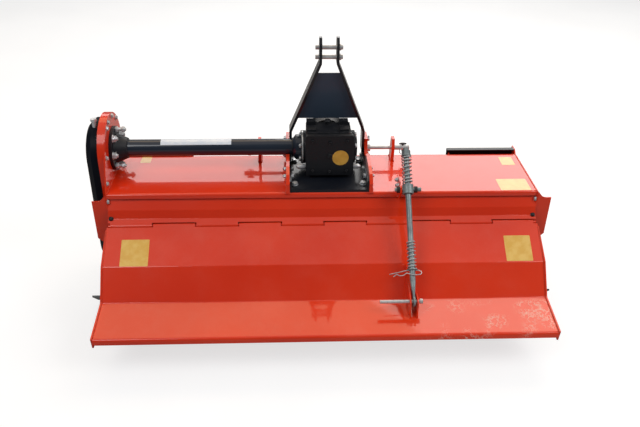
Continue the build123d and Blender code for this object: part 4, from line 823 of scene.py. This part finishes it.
tubeEnds = (faceOf("tube_bell", 0, 1), faceOf("drive_tube", 0, 1) - runs["collar"])
tubeRuns = [circlePath(x, tubeAxis, sticker["tube"] + runs["tubeOut"]) for x in tubeEnds]
weld("tubeWelds", "tube", tubeRuns, paint="black")
flangeFaces = [x + side * reel["half"] for x in reelX for side in (-1, 1)]
reelRuns = [circlePath(x, rotorAxis, reel["tube"], 72) for x in flangeFaces]
weld("reelWelds", "flange", reelRuns, "rotor", "black")
print("stage 5: weld beads")

# the hood panel's lower edge is turned in behind the hinge
strip = {"margin": 0.002, "forward": (0.015, 0.018), "height": (-0.014, 0.018)}
hingeAt = np.array(joints["tailboard_hinge"]["pos_m"])
stripCorners = [(end * (innerFace - strip["margin"]), hingeAt[1] + forward, hingeAt[2] + height)
                for end, forward, height in zip((-1, 1), strip["forward"], strip["height"])]
makePiece("hingeBackStrip", *boxShape(*stripCorners), "frame", "red_paint", "plateRed")

# the tail sheet's top edge is rolled on under the hinge eyes, round the hinge's own axis
lip = {"inner": 0.0160, "outer": 0.0172, "degrees": (20.0, -80.0), "steps": 24,
       "half": 0.925, "sheetAt": -0.10}
sheetOut = surfaceUnder("tailboard_sheet", 0.0, deckOrigin[1] + lip["sheetAt"])[1]
turn = np.radians(np.linspace(*lip["degrees"], lip["steps"]))[:, None]
arc = np.cos(turn) * np.cross(xAxis, sheetOut) + np.sin(turn) * sheetOut
section = np.concatenate([arc * lip["inner"], (arc * lip["outer"])[::-1]]) + hingeAt * [0, 1, 1]
lipShape = closedRings([section + side * lip["half"] * xAxis for side in (-1, 1)])
makePiece("tailHingeLip", *lipShape, "tailboard", "red_paint", "plateRed")

# rubber stops under the tailboard's ends
stops = {"places": ((-0.922, -0.026, -0.100), (0.922, -0.026, -0.100)), "size": 0.010,
         "lean": (0.0, -0.9, -0.43)}
stopShape = turnedShape([(0, -0.8), (0.55, -0.8), (0.6, -0.1), (1.0, 0),
                         (1.0, 0.9), (0.8, 1.25), (0.35, 1.4), (0, 1.42)], 20)
stopMesh = scatter(stopShape, stops["places"] + deckOrigin, stops["lean"], stops["size"])
makePiece("tailBuffers", *stopMesh, "frame", "black_plastic", "rubberBlack")

# linch pins through the lower hitch pins' free ends: a shank under a lever,
# with a sprung ring that hangs behind
linch = {"inset": 0.030, "shank": 0.0045, "below": 0.018,
         "lever": 0.019, "leverHalf": 0.017, "thick": 0.0055,
         "ring": 0.016, "drop": 0.013, "back": 0.0135, "wire": 0.0018, "degrees": (-60, 240)}
pinLow, pinHigh = (np.array(corner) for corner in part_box("hitch_pins"))
pins, loops = [], []
for x in (pinLow[0] + linch["inset"], pinHigh[0] - linch["inset"]):
    middle = np.array([x, *(pinLow + pinHigh)[1:] / 2])
    shank = np.array([-linch["below"], 0, linch["lever"]])[:, None] * upward
    pins.append(rodAlong(middle + shank, linch["shank"], 12))
    reach = np.linspace(-linch["leverHalf"], linch["leverHalf"], 9)
    taper = linch["thick"] * np.sqrt(1 - 0.8 * (reach / linch["leverHalf"]) ** 2)
    pins.append(rodAlong(middle + reach[:, None] * xAxis + shank[-1], taper, 14))
    turn = np.radians(np.linspace(*linch["degrees"], 44))[:, None]
    hang = linch["ring"] * (np.cos(turn) * xAxis - np.sin(turn) * upward)
    loops.append(rodAlong(middle + [0, -linch["back"], -linch["drop"]] + hang, linch["wire"], 8))
makePiece("linchPins", *joined(*pins), "frame", "black_plastic", "guardPlastic")
makePiece("linchRings", *joined(*loops), "frame", "zinc_plate", "zincPlate")

# the spring clip: a leg through the rod, a bow, and a waved leg outside, all one smooth wire
# that droops to the left; from the hole through the rod, its places are along X,
# out from the rod's rear side, and up the rod
clip = {
    "wire": 0.002,
    "leg": ((-0.096, 0.0, -0.015), (-0.060, 0.0, -0.008), (-0.030, 0.0, -0.001),
            (-0.012, 0.0, 0.0), (0.012, 0.0, 0.0), (0.026, 0.0, 0.0)),
    "bow": ((0.034, -0.004, -0.004), (0.037, -0.009, -0.011), (0.031, -0.014, -0.018)),
    "waves": ((0.014, -0.016, -0.021), (-0.006, -0.017, -0.019), (-0.026, -0.017, -0.014),
              (-0.040, -0.017, -0.022), (-0.055, -0.017, -0.024), (-0.068, -0.017, -0.019),
              (-0.082, -0.017, -0.028)),
}
clipPoints = nodePoints("retaining_clip") - rodMid
clipMid = rodMid + rodLine * ((clipPoints @ rodLine).max() - clip["wire"])
outward = np.cross(xAxis, rodLine)
outward = outward * (1 if (clipPoints @ outward).mean() > 0 else -1)
corners = np.array(clip["leg"] + clip["bow"] + clip["waves"])
clipPath = clipMid + corners @ np.stack([xAxis, -outward, rodLine])
clipMesh = rodAlong(smoothPath(clipPath, 7), clip["wire"], 10)
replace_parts(makePiece("springClip", *clipMesh, "rod", "zinc_plate", "zincPlate"), "retaining_clip")

# cast lugs at the gearbox's foot and the breather on its top
lug = {"places": ((-0.096, 0.133, 0.060), (0.142, 0.133, 0.060)), "radius": 0.011, "half": 0.014,
       "end": ((0, 1), (0.55, 0.8), (1, 0))}
lugEnd = [(share * lug["radius"], lug["half"] + out * lug["radius"]) for share, out in lug["end"]]
lugShape = turnedShape([(radius, -height) for radius, height in lugEnd] + lugEnd[::-1], 20)
lugMesh = scatter(lugShape, lug["places"] + deckOrigin, right, 1.0)
makePiece("gearboxLugs", *lugMesh, "frame", "bare_steel", "zincPlate")
breather = {"place": (centreX - 0.002, 0.222), "radius": 0.015}
topOfBox = surfaceUnder("gearbox_housing", breather["place"][0], breather["place"][1] + deckOrigin[1])[0]
breatherShape = turnedShape([(0, 0), (0.8, 0, 1), (0.8, 0.5, 1), (0.62, 0.52), (0.62, 0.65),
                             (1.0, 0.7), (1.0, 1.1), (0.8, 1.35), (0.4, 1.48), (0, 1.5)])
breatherMesh = scatter(breatherShape, topOfBox, upward, breather["radius"])
makePiece("gearboxBreather", *breatherMesh, "frame", "black_paint", "castBlack")

# a bolted lug beside the collar's bracket
sideLug = {"corners": ((0.3235, -0.004, 0.0), (0.3275, 0.058, 0.056)),
           "bolts": ((0.3235, 0.018, 0.026), (0.3235, 0.042, 0.040)), "size": 0.011}
sideLugMesh = boxShape(*(sideLug["corners"] + deckOrigin))
makePiece("collarBracketLug", *sideLugMesh, "frame", "red_paint", "plateRed")
fasten("collarBracketBolts", "nut", sideLug["bolts"], left, sideLug["size"])

# level and drain plugs on the gear case's outer face
plugs = {"rows": ((0.150, -0.050), (0.180, -0.400)), "size": 0.012}
fasten("gearCasePlugs", "head", rowAt(faceOf("gear_case_cover", 0, -1), plugs["rows"]), left, plugs["size"])
print("stage 6: small pieces")

# soft panels round the tiller: the bearing goes from straight ahead towards the right
panels = {
    # bearing and rise in degrees, distance, width, height, radiance, colour
    "frontLowLeft": (-18, 24, 5.6, 3.6, 1.15, 2.35, (1.0, 0.97, 0.95)),
    "frontLowRight": (18, 29, 5.6, 3.6, 2.3, 2.9, (1.0, 0.98, 0.96)),
    "frontHigh": (0, 54, 5.0, 6.8, 1.9, 1.75, (1.0, 0.74, 0.46)),
    "frontHighRight": (41, 46, 5.65, 3.6, 2.2, 1.5, (1.0, 0.99, 0.98)),
    "overhead": (0, 88, 5.0, 6.4, 5.0, 0.50, (1.0, 0.90, 0.82)),
    "rearLeft": (-132, 46, 6.0, 3.0, 3.0, 3.8, (1.0, 1.0, 1.0)),
    "rearRight": (118, 41, 6.0, 3.0, 3.0, 4.8, (1.0, 1.0, 1.0)),
}
surround = {"strength": 0.13, "backdrop": 0.80, "color": (0.86, 0.93, 1.0), "middle": (0.0, 0.0, 0.55)}
ground = {"tones": (0.36, 0.40), "glow": 0.70, "reach": 40.0, "squares": 8, "below": 0.0005}
scene = bpy.context.scene
scene.world = bpy.data.worlds.new("studioWorld")
scene.world.use_nodes = True
sky = scene.world.node_tree
# pale where the camera sees it, dim and cool where it lights the tiller
onView = sky.nodes.new("ShaderNodeLightPath").outputs["Is Camera Ray"]
gain = times(sky, onView, surround["backdrop"] - surround["strength"])
feed(sky, sky.nodes["Background"].inputs, {
    "Strength": plus(sky, gain, surround["strength"]),
    "Color": mixColor(sky, onView, surround["color"], (1.0, 1.0, 1.0)),
})
for label, (bearing, rise, far, width, height, radiance, color) in panels.items():
    bearing, rise = np.radians(bearing), np.radians(rise)
    toPanel = Vector((np.sin(bearing) * np.cos(rise), np.cos(bearing) * np.cos(rise), np.sin(rise)))
    lamp = bpy.data.lights.new(label, "AREA")
    lamp.shape = "RECTANGLE"
    lamp.size, lamp.size_y = width, height
    lamp.energy = radiance * np.pi * width * height
    lamp.color = color
    holder = bpy.data.objects.new(label, lamp)
    holder.location = Vector(surround["middle"]) + toPanel * far
    holder.rotation_euler = toPanel.to_track_quat("Z", "Y").to_euler()
    holder.visible_camera = False
    scene.collection.objects.link(holder)

# the floor looks pale from the camera, yet throws little light back under the hood
floorTree, floorShader = startMaterial("paleFloor")
floorTone = smoothStep(floorTree, noise(floorTree, objectPlace(floorTree), 1.2, 3.0, 0.5), 0.3, 0.7)
seen = floorTree.nodes.new("ShaderNodeLightPath").outputs["Is Camera Ray"]
feed(floorTree, floorShader, {
    "Base Color": mixColor(floorTree, floorTone, *((tone,) * 3 for tone in ground["tones"])),
    "Roughness": 0.9,
    "Specular IOR Level": 0.2,
    "Emission Color": (1, 1, 1, 1),
    "Emission Strength": times(floorTree, seen, ground["glow"]),
})
reach = np.linspace(-ground["reach"], ground["reach"], ground["squares"] + 1)
floorY, floorX = np.meshgrid(reach, reach, indexing="ij")
floorPoints = np.stack([floorX, floorY, floorX * 0 - ground["below"]], -1).reshape(-1, 3)
floorMesh = bpy.data.meshes.new("floor")
floorMesh.from_pydata(floorPoints.tolist(), [], gridFaces(len(reach), len(reach), False).tolist())
floorMesh.materials.append(looks["paleFloor"])
floor = bpy.data.objects.new("floor", floorMesh)
scene.collection.objects.link(floor)

# the camera looks turned to the right, dipped and a little rolled, from a place behind and above
view = {"place": (-0.1428, -2.619, 1.5243), "turn": 0.0476, "dip": 0.5557, "roll": 0.015, "lens": 39.375}
cosTurn, sinTurn, cosDip, sinDip = (f(view[key]) for key in ("turn", "dip") for f in (np.cos, np.sin))
ahead = np.array([sinTurn * cosDip, cosTurn * cosDip, -sinDip])
side = np.array([cosTurn, -sinTurn, 0.0])
up = np.cross(side, ahead)
side, up = (side * np.cos(view["roll"]) + up * np.sin(view["roll"]),
            up * np.cos(view["roll"]) - side * np.sin(view["roll"]))
cameraData = bpy.data.cameras.new("studioCamera")
cameraData.lens = view["lens"]
cameraData.sensor_width = 36.0
camera = bpy.data.objects.new("studioCamera", cameraData)
turned = Matrix(np.stack([side, up, -ahead], 1).tolist()).to_4x4()
turned.translation = Vector(view["place"] + deckOrigin)
camera.matrix_world = turned
scene.collection.objects.link(camera)
scene.camera = camera
scene.view_settings.view_transform = "Standard"
print("stage 7: floor, lights and camera")
